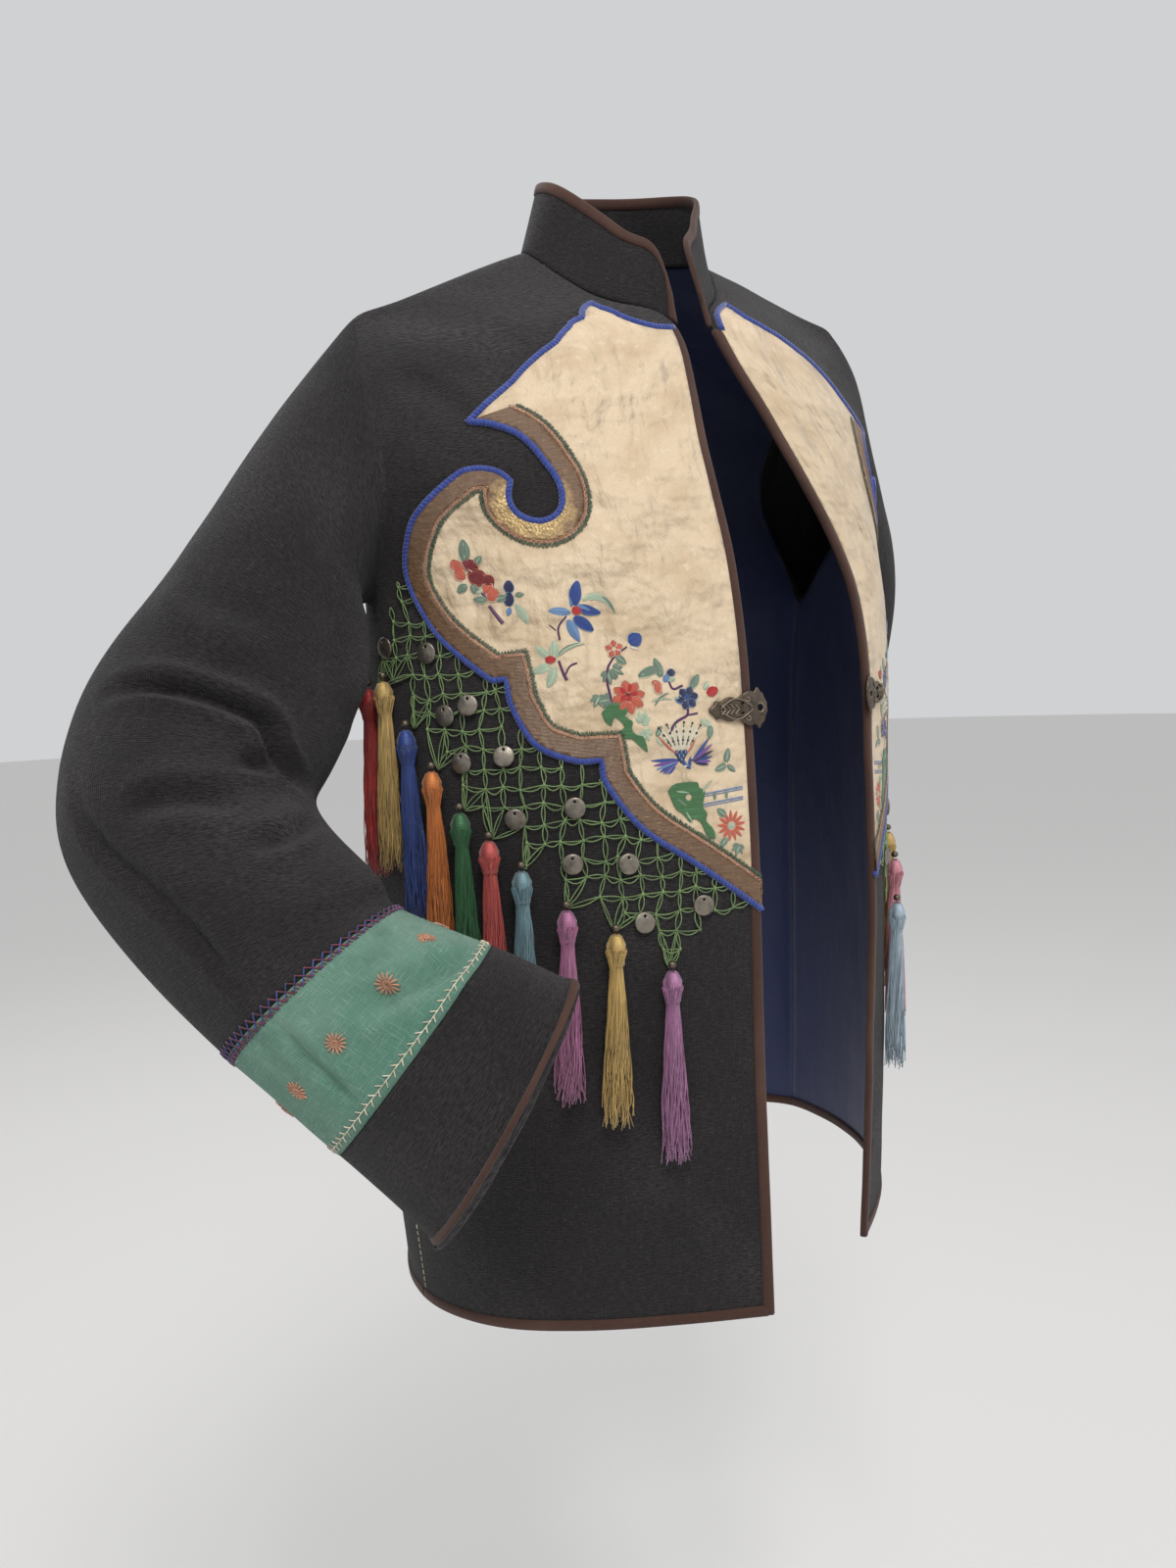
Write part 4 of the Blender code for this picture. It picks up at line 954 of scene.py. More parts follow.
def plate(outline, holes, thickness, dome=0.0, step=0.0015):
    """A flat metal plate with holes and rounded-over edges, domed by `dome` in the middle."""
    outline = np.asarray(outline, float)
    inner = outline * 0.93
    low, high = outline.min(0), outline.max(0)
    grid = [Vector((x, y)) for x in np.arange(low[0], high[0], step)
            for y in np.arange(low[1], high[1], step)]
    coords, rings = as_rings(outline, holes)
    first = len(coords)
    coords += [Vector(p) for p in inner]
    edges = [(first + k, first + (k + 1) % len(inner)) for k in range(len(inner))]
    found = delaunay_2d_cdt(coords + grid, edges, rings, 0, 1e-7)
    faces = [f for f, source in zip(found[2], found[5]) if list(source) == [0]]
    flat = np.array([tuple(p) for p in found[0]])
    away = np.array([segment_distance(p, np.vstack([outline, outline[:1]])).min() for p in flat])
    reach = away.max()
    height = dome * (1 - (1 - np.clip(away / reach, 0, 1)) ** 2) - thickness * 0.5 * (away < 1e-5)
    points = np.column_stack([flat, height])
    normals = np.broadcast_to([0.0, 0.0, 1.0], points.shape)
    return wall(points, normals, faces, [[tuple(flat[n]) for n in f] for f in faces], thickness / 2,
                -thickness / 2)


TASSEL_SHAPE = [(0.0000, 0.0022), (0.0012, 0.0050), (0.0040, 0.0072), (0.0085, 0.0080), (0.0130, 0.0072),
                (0.0170, 0.0052), (0.0200, 0.0042), (0.0240, 0.0050), (0.0450, 0.0064), (0.0800, 0.0078),
                (0.1350, 0.0094)]
STRANDS, TASSEL_STEPS = 120, 18
TASSEL_LIFT = [0, 0.03, 0.135], [0.0106, 0.0100, 0.0092]       # distance down, distance off the cloth


def make_tassel(jacket, hand, number, spot, looks):
    """A silk tassel: threads bunched over a ball, tied below it, and hanging free to uneven lengths."""
    part = "front_" + hand
    colour = getattr(spot, hand)
    downs, radii = np.array(TASSEL_SHAPE).T
    length = TASSEL_LENGTH * chance.uniform(0.84, 1.0, STRANDS)
    share = np.linspace(0, 1, TASSEL_STEPS) ** 0.8
    down = share[None, :] * length[:, None]
    turn = chance.uniform(0, 2 * math.pi, STRANDS)[:, None]
    depth = np.sqrt(chance.uniform(0.12, 1.0, STRANDS))[:, None]
    loose = np.clip((down - 0.022) / 0.11, 0, 1)
    depth = np.where(down < 0.018, 0.86 + 0.14 * depth, 0.86 * (1 - loose) + loose * depth)
    phase = chance.uniform(0, 6.3, (STRANDS, 1))
    wander = 0.0030 * loose * np.sin(phase + down * chance.uniform(30, 120, (STRANDS, 1)))
    radius = np.interp(down, downs, radii) * depth
    sideways = radius * np.cos(turn + 1.2 * down / 0.13) + wander
    sway = chance.normal(0, 0.0020) * (share ** 2)[None, :]
    outward = radius * np.sin(turn + 1.2 * down / 0.13)
    lift = np.maximum(np.interp(down, *TASSEL_LIFT) + outward, 0.0016)
    axis, ways = jacket.lay(part,
                            np.stack([np.full(TASSEL_STEPS, spot.out), spot.level - share * TASSEL_LENGTH],
                                     1))
    line = np.stack([np.stack([np.interp(down[s], share * TASSEL_LENGTH, axis[:, k]) for k in range(3)], 1)
                     for s in range(STRANDS)])
    normal = unit(ways.mean(0))
    side = unit(np.cross([0, 0, 1.0], normal))
    points = line + lift[:, :, None] * normal + (sideways + sway)[:, :, None] * side
    name = "tassel_%s_%02d" % (hand, number)
    made = tubes("silk_" + name, points, 0.00040, looks["silk"][colour], 3, None, name)

    core_down = np.linspace(0.001, 0.118, 20)
    core = np.stack([np.interp(core_down, share * TASSEL_LENGTH, axis[:, k]) for k in range(3)], 1)
    core = core + np.interp(core_down, *TASSEL_LIFT)[:, None] * normal
    fullness = np.interp(core_down, [0.03, 0.118], [0.88, 0.35])
    tubes("core_" + name, core[None], np.interp(core_down, downs, radii) * fullness, looks["silk"][colour],
          12)
    top = axis[0] + TASSEL_LIFT[1][0] * normal
    wraps = []
    for k in range(4):
        turns = np.linspace(0, 2 * math.pi, 17)
        at = axis[0] + (TASSEL_LIFT[1][0] - 0.0002) * normal - np.array([0, 0, 0.0186 + 0.0008 * k])
        wraps.append(at + 0.0049 * (np.cos(turns)[:, None] * side + np.sin(turns)[:, None] * normal))
    tubes("tie_" + name, np.array(wraps), 0.0005, looks["silk"][colour], 5, np.array([0, 0, 1.0]))
    turns = np.linspace(0, math.pi, 9)
    bead = top + np.array([0, 0, 0.0042]) + np.cos(turns)[:, None] * np.array([0, 0, 0.0026])
    tubes("bead_" + name, bead[None], 0.0027 * np.sin(turns) + 0.0003, looks["bead"], 12, normal)


# ---- embroidery ----------------------------------------------------------------------------------
# A motif is drawn in millimetres round its own place on the front: x runs towards the front edge and y
# up. A petal is satin stitch from its foot, along an angle, with its length, width and bend in degrees.
Petal = namedtuple("Petal", "floss x y angle length width bend", defaults=(0,))
Stem = namedtuple("Stem", "floss width points")
Shape = namedtuple("Shape", "floss points hole")


def petals(floss, *rows):
    """Petals of one colour, from rows of place, angle, length, width and bend."""
    return [Petal(floss, *row) for row in rows]


def flower(floss, x, y, count, reach, width, start=0, eye=None, inner=0.25):
    """A ring of petals round a place, with an eye on top."""
    made = [Petal(floss, x + inner * reach * math.cos(math.radians(start + a)),
                  y + inner * reach * math.sin(math.radians(start + a)), start + a, reach, width)
            for a in np.arange(count) * 360 / count]
    if eye:
        made.append(Petal(eye, x - 0.32 * reach, y, 0, 0.64 * reach, 0.6 * reach))
    return made


def lobed_leaf(floss, x, y, angle, size):
    """A leaf of five lobes with a pale rib."""
    made = [Petal(floss, x, y, angle + a, size * f, size * 0.42)
            for a, f in ((-75, 0.6), (-38, 0.85), (0, 1.0), (38, 0.85), (75, 0.6))]
    return made + [Petal("pale", x, y, angle, size * 0.8, size * 0.10)]


def leaf(floss, x, y, angle, length, width, bend=0):
    """A leaf in two shades, split by its rib."""
    turn = math.radians(angle)
    return [Petal(floss, x, y, angle, length, width, bend),
            Petal("pale" if floss == "sage" else "ivory", x + 0.12 * length * math.cos(turn),
                  y + 0.12 * length * math.sin(turn), angle, length * 0.74, width * 0.16, bend)]


def leaves(floss, *rows):
    return [petal for row in rows for petal in leaf(floss, *row)]


PEONY_SPRAY = (
    leaves("sage", (-6, 10, 78, 17, 8, 10), (1, 7, 50, 8, 5), (-8, -8, 215, 9, 6), (-3, -8, 265, 7, 5),
                   (4, -20, 175, 9, 5), (10, -20, 10, 9, 5)) + leaf("pale", 5, -12, 200, 8, 5)
    + petals("rust", (-11, 3, 110, 10, 10), (-12, -1, 80, 10, 10), (-9, -4, 120, 10, 9))
    + petals("wine", (-5, 2, 65, 10, 12), (-5, -5, 25, 12, 13), (-2, -9, 60, 11, 13), (4, -9, 40, 9, 10))
    + petals("rust", (3, -16, 40, 10, 10), (5, -13, 330, 10, 9), (4, -18, 0, 9, 7))
    + petals("ivory", (0, -1, 320, 6, 1.2), (-6, 5, 320, 6, 1.0), (8, -13, 60, 5, 0.8))
    + [Stem("plum_stem", 2.4, [(-2, -11), (2, -15), (4, -18)]),
       Stem("plum_stem", 2.8, [(5, -24), (9, -31), (13, -37)])]
    + petals("ink", (20, -16, 80, 9, 7), (18, -25, 75, 10, 7)) + petals("royal", (19, -23, 75, 6, 3))
    + petals("sky", (19, -26, 245, 6, 4)) + petals("sage", (24, -18, 5, 6, 4))
    + leaf("pale", 23, -24, 300, 16, 6, -10))
ORCHID = (
    petals("royal", (-1, 6, 76, 17, 8, -8)) + petals("sky", (-3, 5, 80, 9, 3), (-4, 1, 165, 15, 6, 14))
    + petals("royal", (0, 5, 338, 17, 7, 10)) + petals("sky", (1, 6, 335, 10, 2.5))
    + petals("royal", (-2, -2, 318, 16, 8)) + petals("sky", (-6, -4, 286, 17, 7, 12))
    + petals("ink", (-1, -3, 318, 10, 3)) + petals("scarlet", (-3, 3, 350, 7, 6))
    + [Stem("plum_stem", 1.5, [(-7, -1), (-13, -9), (-13, -18)]),
       Stem("plum_stem", 1.0, [(-19, -7), (-15, -11)])] + petals("pale", (5, 9, 28, 24, 5, -105))
    + petals("ivory", (5, 10, 28, 20, 1.2, -100)) + petals("sage", (14, 12, 345, 19, 2.4, -75)))
BUD_SPRAY = (
    leaves("pale", (-3, 3, 140, 12, 6, -10), (0, 2, 82, 13, 7, 8), (-3, -2, 195, 14, 6, 10),
                   (0, -3, 250, 15, 7, -12)) + petals("sage", (3, 5, 40, 20, 2.6, -45))
    + petals("pale", (3, 4, 42, 21, 1.6, -45)) + petals("scarlet", (-6, 2, 0, 7, 5))
    + [Stem("plum_stem", 2.2, [(3, 1), (5, -7), (7, -12)]),
       Stem("plum_stem", 1.5, [(6, -9), (10, -3), (15, -1)])])
VINE = (
    flower("rust", -4, 37, 5, 5, 5, 20, "ivory") + petals("royal", (7, 40, 35, 10, 10))
    + petals("ivory", (7, 38, 340, 6, 1.6)) + leaf("sage", -3, 32, 320, 8, 5)
    + [Stem("plum_stem", 1.6, [(5, 38), (-4, 32), (-9, 26)]),
       Stem("plum_stem", 2.0, [(-9, 26), (-11, 18), (-9, 4), (-7, -6)])]
    + lobed_leaf("sage", -10, 22, 280, 9) + lobed_leaf("sage", -6, 24, 330, 8)
    + lobed_leaf("sage", -10, 3, 190, 9) + lobed_leaf("sage", -17, 5, 240, 8)
    + flower("rust", 3, 4, 8, 9.5, 8, 10) + flower("scarlet", 3, 6, 5, 6.2, 5.5, 0, "wine")
    + petals("ivory", (2, 8, 40, 4, 0.7), (3, 1, 320, 4, 0.7), (0, 4, 200, 4, 0.7)))
GRASS = (
    petals("pale", (0, 0, 20, 15, 1.4, -40)) + petals("sage", (2, -3, 60, 14, 1.6, -50))
    + lobed_leaf("pale", -8, -14, 60, 9) + lobed_leaf("pale", -7, -20, 300, 8))
BRANCH = (
    leaves("sage", (-25, 13, 25, 18, 6, -20), (-9, 12, 105, 13, 6, 8), (12, 3, 55, 11, 6))
    + leaves("pale", (8, -6, 160, 9, 4), (22, 1, 60, 7, 4))
    + petals("rust", (-14, 7, 300, 8, 6), (-12, 9, 270, 9, 6), (-16, 9, 330, 7, 5))
    + petals("sky", (-7, 8, 60, 7, 5)) + petals("pale", (-5, 9, 10, 6, 4))
    + petals("scarlet", (24, -2, 20, 9, 7)) + petals("ink", (-2, 12, 90, 5, 6))
    + petals("sky", (-2, 13, 90, 4, 3)) + flower("ink", 9, -4, 6, 6.5, 6, 10)
    + petals("royal", (5, -4, 20, 9, 5)) + petals("sky", (0, -4, 330, 6, 4))
    + petals("ivory", (3, -1, 300, 6, 1))
    + [Stem("plum_stem", 1.8, [(-4, 9), (-1, 3), (6, 5)]),
       Stem("plum_stem", 2.2, [(9, -10), (8, -16), (0, -20), (-6, -28)]),
       Stem("plum_stem", 1.6, [(8, -16), (16, -15)])] + leaf("pale", 18, -20, 330, 9, 5)
    + leaf("sage", 25, -24, 260, 9, 5))


def on_feather(floss, k, run, foot, length, width):
    """A petal at `run` along the k-th of the peacock's six tail feathers."""
    lean = 90 - 13 * (k - 2.5)
    return Petal(floss, 2 * (k - 2.5) + run * math.cos(math.radians(lean)),
                 foot + run * math.sin(math.radians(lean)), lean, length, width)


SCALES = ((-3, 4), (0, 4), (3, 4), (-1.5, 1.5), (1.5, 1.5), (0, -1))
PEACOCK = (
    [on_feather("ivory", k, 0, 4, 22 - abs(k - 2.5), 4.6) for k in range(6)]
    + [on_feather("fuzz", k, run, 4, 3.0, 0.9) for k in range(6) for run in (3, 7, 11, 15)]
    + [on_feather("jet", k, run, 3.6, 2.0, 1.7) for k in range(6) for run in (6, 12, 18)]
    + petals("rust", (-4, 2, 140, 18, 1.6, -12), (5, 2, 55, 11, 1.4))
    + [Petal("ink", x, y, 270, 4.5, 3.6) for x, y in SCALES]
    + [Petal("sky", x, y, 270, 3.0, 1.2) for x, y in SCALES]
    + [Petal(("royal", "violet_floss", "sky")[k % 3], -1 - 0.6 * k, -3 - 0.5 * k, 178 + 9 * k,
             21 - 2.2 * k, 2.8) for k in range(7)]
    + [Petal(("royal", "violet_floss", "ink")[k % 3], 8 + 0.4 * k, -4 - 0.3 * k, 48 - 12 * k, 20 - 2 * k,
             2.4) for k in range(6)]
    + petals("royal", (1, -3, 285, 9, 3.2, 60)) + petals("sky", (2, -3, 285, 7, 1.2, 60))
    + petals("royal", (6, -8, 100, 7, 2.4, -40)) + petals("ivory", (1, -8, 20, 5, 3))
    + petals("jet", (7, -4, 30, 2, 1.2))
    + [Stem("ivory", 0.6, [(0, -10), (0, -16)]), Stem("ivory", 0.6, [(3, -10), (3, -16)])])
ROCKS = (
    [Shape("moss", [(-12, 6), (-6, 12), (2, 12), (6, 7), (4, 3), (9, -1), (8, -6), (11, -10), (16, -12),
                    (18, -22), (12, -17), (8, -13), (3, -12), (-1, -8), (3, -4), (-1, 1), (-4, 2),
                    (-6, -3), (-10, 0)], None)])
LOW_ROCK = (
    [Shape("moss", [(-15, 8), (-9, 13), (6, 13), (8, 9), (12, 6), (10, -4), (13, -9), (12, -14), (17, -20),
                    (18, -27), (12, -24), (8, -15), (3, -12), (0, -14), (-5, -8), (-10, -4)], (0, 3, 2.4))]
    + petals("pale", (-11, 8, 350, 14, 1.5), (-3, -6, 300, 10, 1.5))
    + petals("sage", (-9, 3, 320, 10, 1.8)))
FENCE = (
    [Stem("sky", 1.3, [(-10, 3), (22, 6)]), Stem("sky", 1.3, [(-10, -4), (22, -1)]),
     Stem("sky", 0.9, [(-10, 1.4), (22, 4.4)]), Stem("sky", 0.9, [(-10, -5.6), (22, -2.6)])]
    + petals("sage", (0, -1, 85, 5, 2.2), (9, -1, 85, 5, 2.2)) + petals("pale", (-9, 4, 60, 12, 1.4, -30)))
ASTER = (
    flower("rust", 0, 0, 13, 8, 2.6, 8, "pale", 0.35)
    + leaves("sage", (-4, 7, 140, 8, 5), (-4, -8, 230, 8, 5)) + lobed_leaf("sage", 5, -14, 250, 8))
THREE_LEAVES = (
    leaves("sage", (0, 2, 75, 10, 5), (0, 0, 200, 9, 5), (1, 0, 320, 8, 4)))
SMALL_LEAVES = (
    leaf("sage", 0, 0, 60, 8, 4) + leaf("pale", 0, 0, 300, 8, 4))
MOTIFS = [((0.184, -0.242), PEONY_SPRAY), ((0.121, -0.275), ORCHID), ((0.139, -0.308), BUD_SPRAY),
          ((0.094, -0.338), VINE), ((0.075, -0.338), GRASS), ((0.058, -0.333), BRANCH),
          ((0.056, -0.376), PEACOCK),
          ((0.098, -0.350), ROCKS), ((0.052, -0.408), LOW_ROCK), ((0.033, -0.407), FENCE),
          ((0.021, -0.427), ASTER),
          ((0.023, -0.385), THREE_LEAVES), ((0.073, -0.362), SMALL_LEAVES)]


def petal_grid(petal):
    """A petal's places in its motif, its dome, and pattern places, on a small grid."""
    t, v = np.linspace(0, 1, 10)[:, None], np.linspace(-1, 1, 7)[None, :]
    turn = np.radians(petal.angle + petal.bend * t)
    step = petal.length / 9
    x = petal.x + np.concatenate([[[0]], np.cumsum(step * np.cos(turn[:-1]), axis=0)])
    y = petal.y + np.concatenate([[[0]], np.cumsum(step * np.sin(turn[:-1]), axis=0)])
    half = petal.width / 2 * np.sin(math.pi * (0.04 + 0.92 * t) ** 0.85) ** 0.75
    dome = (1 - v ** 2) ** 0.6 * np.sin(math.pi * t) ** 0.4
    places = np.stack([x - np.sin(turn) * half * v, y + np.cos(turn) * half * v], axis=2)
    uv = np.stack([t * petal.length + 0 * v, half * v], axis=2) * 0.001
    return places, dome, uv


FINE_PETAL = 2.6                                     # narrower stitches lie on top of wider ones
OUTLINED = {"rust": "ivory", "wine": "rust", "scarlet": "rust", "ink": "sky", "royal": "sky",
            "sage": "pale"}


def make_embroidery(jacket, hand, looks):
    part, pieces, outlines = "front_" + hand, {}, {}
    for (out, level), motif in MOTIFS:
        for order, item in enumerate(motif):
            if isinstance(item, Petal):
                places, dome, uv = petal_grid(item)
                flat = np.stack([out - places[..., 0] * 0.001, level + places[..., 1] * 0.001], axis=2)
                on_top = 0.0005 if item.width < FINE_PETAL else 0.0
                lift = ON_SATIN + 0.00005 + 0.00002 * (order % 12) + on_top
                lift = lift + min(0.0007, 0.00012 * item.width) * dome
                points, _ = jacket.lay(part, flat, lift)
                faces = grid_faces(*dome.shape, hand == "right")
                uv = uv.reshape(-1, 2) + [item.x * 0.01, item.y * 0.01]
                pieces.setdefault(item.floss, []).append((points.reshape(-1, 3), faces, uv))
                if item.width > 4.5 and item.floss in OUTLINED:
                    sides = (points[:, ::dome.shape[1] - 1].transpose(1, 0, 2)
                             + 0.0003 * jacket.lay(part, flat[5:6, 3])[1])
                    outlines.setdefault(OUTLINED[item.floss], []).extend(sides)
            elif isinstance(item, Stem):
                line = np.array([catmull(item.points, t) for t in np.linspace(0, len(item.points) - 1, 12)])
                flat = np.stack([out - line[:, 0] * 0.001, level + line[:, 1] * 0.001], axis=1)
                points, ways = jacket.lay(part, flat, ON_SATIN + 0.0001)
                taper = item.width * 0.0005 * np.linspace(0.8, 1.0, 12)
                side = unit(np.cross(unit(np.gradient(points, axis=0)), ways))
                rings = np.stack([points + taper[:, None] * (math.cos(a) * side + 0.45 * math.sin(a) * ways)
                                  for a in np.arange(8) * math.pi / 4], axis=1)
                uv = [(0.001 * j, 0.0004 * k) for j in range(12) for k in range(8)]
                pieces.setdefault(item.floss, []).append((rings.reshape(-1, 3), ring_faces(12, 8), uv))
            else:
                outline = np.array([catmull(item.points + item.points[:1], t)
                                    for t in np.arange(0, len(item.points), 0.34)])
                flat = np.stack([out - outline[:, 0] * 0.001, level + outline[:, 1] * 0.001], axis=1)
                holes = []
                if item.hole:
                    x, y, r = item.hole
                    turns = np.arange(14) * 2 * math.pi / 14
                    ring = np.stack([-x - r * np.cos(turns), y + r * np.sin(turns)], 1)
                    holes = [np.array([out, level]) + ring * 0.001]
                pieces.setdefault(item.floss, []).append(
                    patch(jacket, part, flat, ON_SATIN + 0.0007, ON_SATIN - 0.0002, 0.0025, holes))
    for floss, several in pieces.items():
        points, faces, uv = join(several)
        add_mesh("stitched_%s_%s" % (floss, hand), points, faces, looks["stitch"][floss], uv)
    for floss, lines in outlines.items():
        tubes("outline_%s_%s" % (floss, hand), np.array(lines), 0.00026, looks["floss"][floss], 4)


# ---- sleeve bands, cuffs, clasps -----------------------------------------------------------------
ROSETTES, ROSETTE_FIRST, ROSETTE_RAYS = 10, 0.019, 14


def straight_stitches(cloth, part, ends, lift, bow=0.0004):
    """Short straight stitches between pairs of flat places."""
    ends = np.asarray(ends, float)
    t = np.linspace(0, 1, 5)[None, :, None]
    lines = ends[:, None, 0] * (1 - t) + ends[:, None, 1] * t
    return cloth.lay(part, lines, lift + bow * np.sin(math.pi * t[..., 0]))


def make_sleeve_trim(jacket, hand, ends, looks):
    band, cuff, sleeve = "band_" + hand, "cuff_" + hand, "sleeve_" + hand
    top, low, edge = ends["sleeve_"], ends["band_"], ends["cuff_"]
    around = np.arange(0.0015, GIRTH - 0.009, 0.0072)
    cross = [[(u, top - 0.0042), (u + 0.0086, top + 0.0042)] for u in around]
    back = [[(u + 0.0078, top - 0.0042), (u - 0.0008, top + 0.0042)] for u in around]
    for name, ends_, floss in (("cross", cross, "maroon"), ("cross_back", back, "royal")):
        upper, ways = straight_stitches(jacket, sleeve, [[p, ((p[0] + q[0]) / 2, top)] for p, q in ends_],
                                        0.0007)
        tubes("%s_upper_%s" % (name, hand), upper, 0.00045, looks["floss"][floss], 5, ways)
        lower, ways = straight_stitches(jacket, band, [[((p[0] + q[0]) / 2, top), q] for p, q in ends_],
                                        0.0007)
        tubes("%s_lower_%s" % (name, hand), lower, 0.00045, looks["floss"][floss], 5, ways)
    around = np.arange(0.0015, GIRTH - 0.006, 0.0024)
    rows = [[(u, top + 0.0012), (u + 0.0016, top + 0.0040)] for u in around]
    points, ways = straight_stitches(jacket, band, rows, 0.0006)
    tubes("band_overcast_" + hand, points, 0.00036, looks["floss"]["maroon"], 5, ways)
    feather = []
    for k, u in enumerate(np.arange(0.002, GIRTH - 0.003, 0.0036)):
        up = 0.0030 if k % 2 else -0.0030
        feather.append([(u, low - 0.0050 + up), (u + 0.0026, low - 0.0050)])
        feather.append([(u, low - 0.0050), (u + 0.0036, low - 0.0050)])
    points, ways = straight_stitches(jacket, band, feather, 0.0006)
    tubes("feather_stitch_" + hand, points, 0.00042, looks["floss"]["ivory"], 5, ways)

    pieces, eyes = [], []
    middle = (top + low) / 2
    for k in range(ROSETTES):
        centre = np.array([ROSETTE_FIRST + GIRTH * k / ROSETTES, middle])
        for turn in np.arange(ROSETTE_RAYS) * 360.0 / ROSETTE_RAYS:
            reach = chance.uniform(4.2, 5.6)
            places, dome, uv = petal_grid(Petal("coral_chain", 2.0 * math.cos(math.radians(turn)),
                                                2.0 * math.sin(math.radians(turn)), turn, reach, 1.25))
            points, _ = jacket.lay(band, centre + places * 0.001, 0.0006 + 0.0009 * dome)
            pieces.append((points.reshape(-1, 3), grid_faces(*dome.shape), uv.reshape(-1, 2)))
        turns = np.linspace(0, 5 * math.pi, 40)
        spiral = centre + (0.0004 + turns[:, None] * 0.00014) * np.stack([np.cos(turns), np.sin(turns)], 1)
        eyes.append(jacket.lay(band, spiral, 0.0014)[0])
    points, faces, uv = join(pieces)
    add_mesh("rosettes_" + hand, points, faces, looks["stitch"]["coral_chain"], uv)
    tubes("rosette_eyes_" + hand, np.array(eyes), 0.0005, looks["floss"]["coral_chain"], 5)

    steps = np.linspace(0, GIRTH, 97)
    binding("cuff_binding_" + hand, jacket, cuff, np.stack([steps, np.full(97, edge)], 1),
            np.stack([steps, np.full(97, edge - BINDING)], 1), looks["binding"], "binding_cuff_" + hand,
            0.6)


def make_side_seam(jacket, hand, rows, looks):
    """Cream running stitch up the side seam from the hem."""
    spots = [(arc_length(row, 1.0) - 0.0035, row.z)
             for row in (row_at(rows, t) for t in np.arange(0.06, 2.4, 0.030))]
    ends = [[a, (b[0], a[1] + 0.62 * (b[1] - a[1]))] for a, b in zip(spots, spots[1:])]
    points, ways = straight_stitches(jacket, "front_" + hand, ends, 0.0004)
    tubes("side_seam_" + hand, points, 0.00045, looks["floss"]["ivory"], 5, ways)


def make_clasp(jacket, hand, looks):
    """Half a clasp: a lobed pewter plate with an eye, scroll relief and a feathered tail."""
    turns = np.linspace(0, 2 * math.pi, 90)[:-1]
    reach = np.where(np.cos(turns) > 0, 0.0330, 0.0115)
    lobes = 0.84 + 0.20 * np.cos(3 * turns) + 0.09 * np.cos(13 * turns)
    outline = np.stack([reach * np.cos(turns) * (1 + 0.03 * np.cos(9 * turns)),
                        0.0140 * np.sin(turns) * lobes], 1)
    eye = np.stack([-0.0050 + 0.0024 * np.cos(turns[::7]), 0.0024 * np.sin(turns[::7])], 1)
    along, across = 0.0042 * np.cos(turns[::9]), 0.0011 * np.sin(turns[::9])
    slots = [np.stack([0.0110 + along, y + across + 0.1 * along], 1) for y in (0.0034, -0.0034)]
    points, faces, uv = plate(outline, [eye, *slots], 0.0012, 0.0012, 0.0010)
    part = "front_" + hand
    (start, inner), ways = jacket.lay(part, [(0.0, CLASP_LEVEL), (0.029, CLASP_LEVEL)], 0.0034)
    x = unit(inner - start)
    z = unit(ways[0] + ways[1])
    z = unit(z - x * x.dot(z))
    y = np.cross(z, x)

    def placed(local):
        return start + local[..., :1] * x + local[..., 1:2] * y + local[..., 2:] * z

    made = add_mesh("clasp_plate_" + hand, placed(points), faces, looks["clasp"], uv, "clasp_" + hand)
    t = np.linspace(0, 1, 24)
    scrolls = []
    curl = 0.0022 * (1 - t)
    for way in (-1, 1):
        scrolls.append((0.001 + 0.025 * t, way * (0.0008 + 0.0062 * np.sin(math.pi * t)), 0.0017 + 0 * t))
        scrolls.append((0.0045 + curl * np.cos(8 * t), way * 0.0066 + curl * np.sin(8 * t), 0.0018 + 0 * t))
        for k in range(4):
            scrolls.append((0.012 + 0.0035 * k + 0.003 * t, way * (0.0004 + 0.0030 * t),
                            0.0020 - 0.0003 * t))
    tubes("clasp_relief_" + hand, placed(np.array(scrolls).transpose(0, 2, 1)), 0.00060, looks["relief"], 6)
    ring = np.linspace(0, 2 * math.pi, 24)
    rim = np.stack([-0.0050 + 0.0032 * np.cos(ring), 0.0032 * np.sin(ring), 0.0010 + 0 * ring], 1)
    tubes("clasp_eye_" + hand, placed(rim)[None], 0.0007, looks["relief"], 6)
    slack = np.linspace(0, 1, 5)
    ties = [[(0.003 + d, -0.004), (0.003 - d, 0.004)] for d in (-0.001, 0.0, 0.001)]
    ties = np.array([[np.array(a) * (1 - s) + np.array(b) * s for s in slack] for a, b in ties])
    ties = np.concatenate([ties, np.broadcast_to(0.0014 + 0.0006 * np.sin(slack * math.pi), (3, 5))[:, :,
                                                                                                    None]], 2)
    tubes("clasp_ties_" + hand, placed(ties), 0.0004, looks["floss"]["jet"], 5)


# ---- stage ---------------------------------------------------------------------------------------
CAMERA_AT = (-0.71, -0.95, -0.28)
CAMERA_HEADING, CAMERA_DOWN, CAMERA_ROLL = -34.5, 6.45, -2.4       # degrees
CAMERA_LENS = 33.75                                                # mm, on a 36 mm long side
FLOOR_LEVEL = -1.42


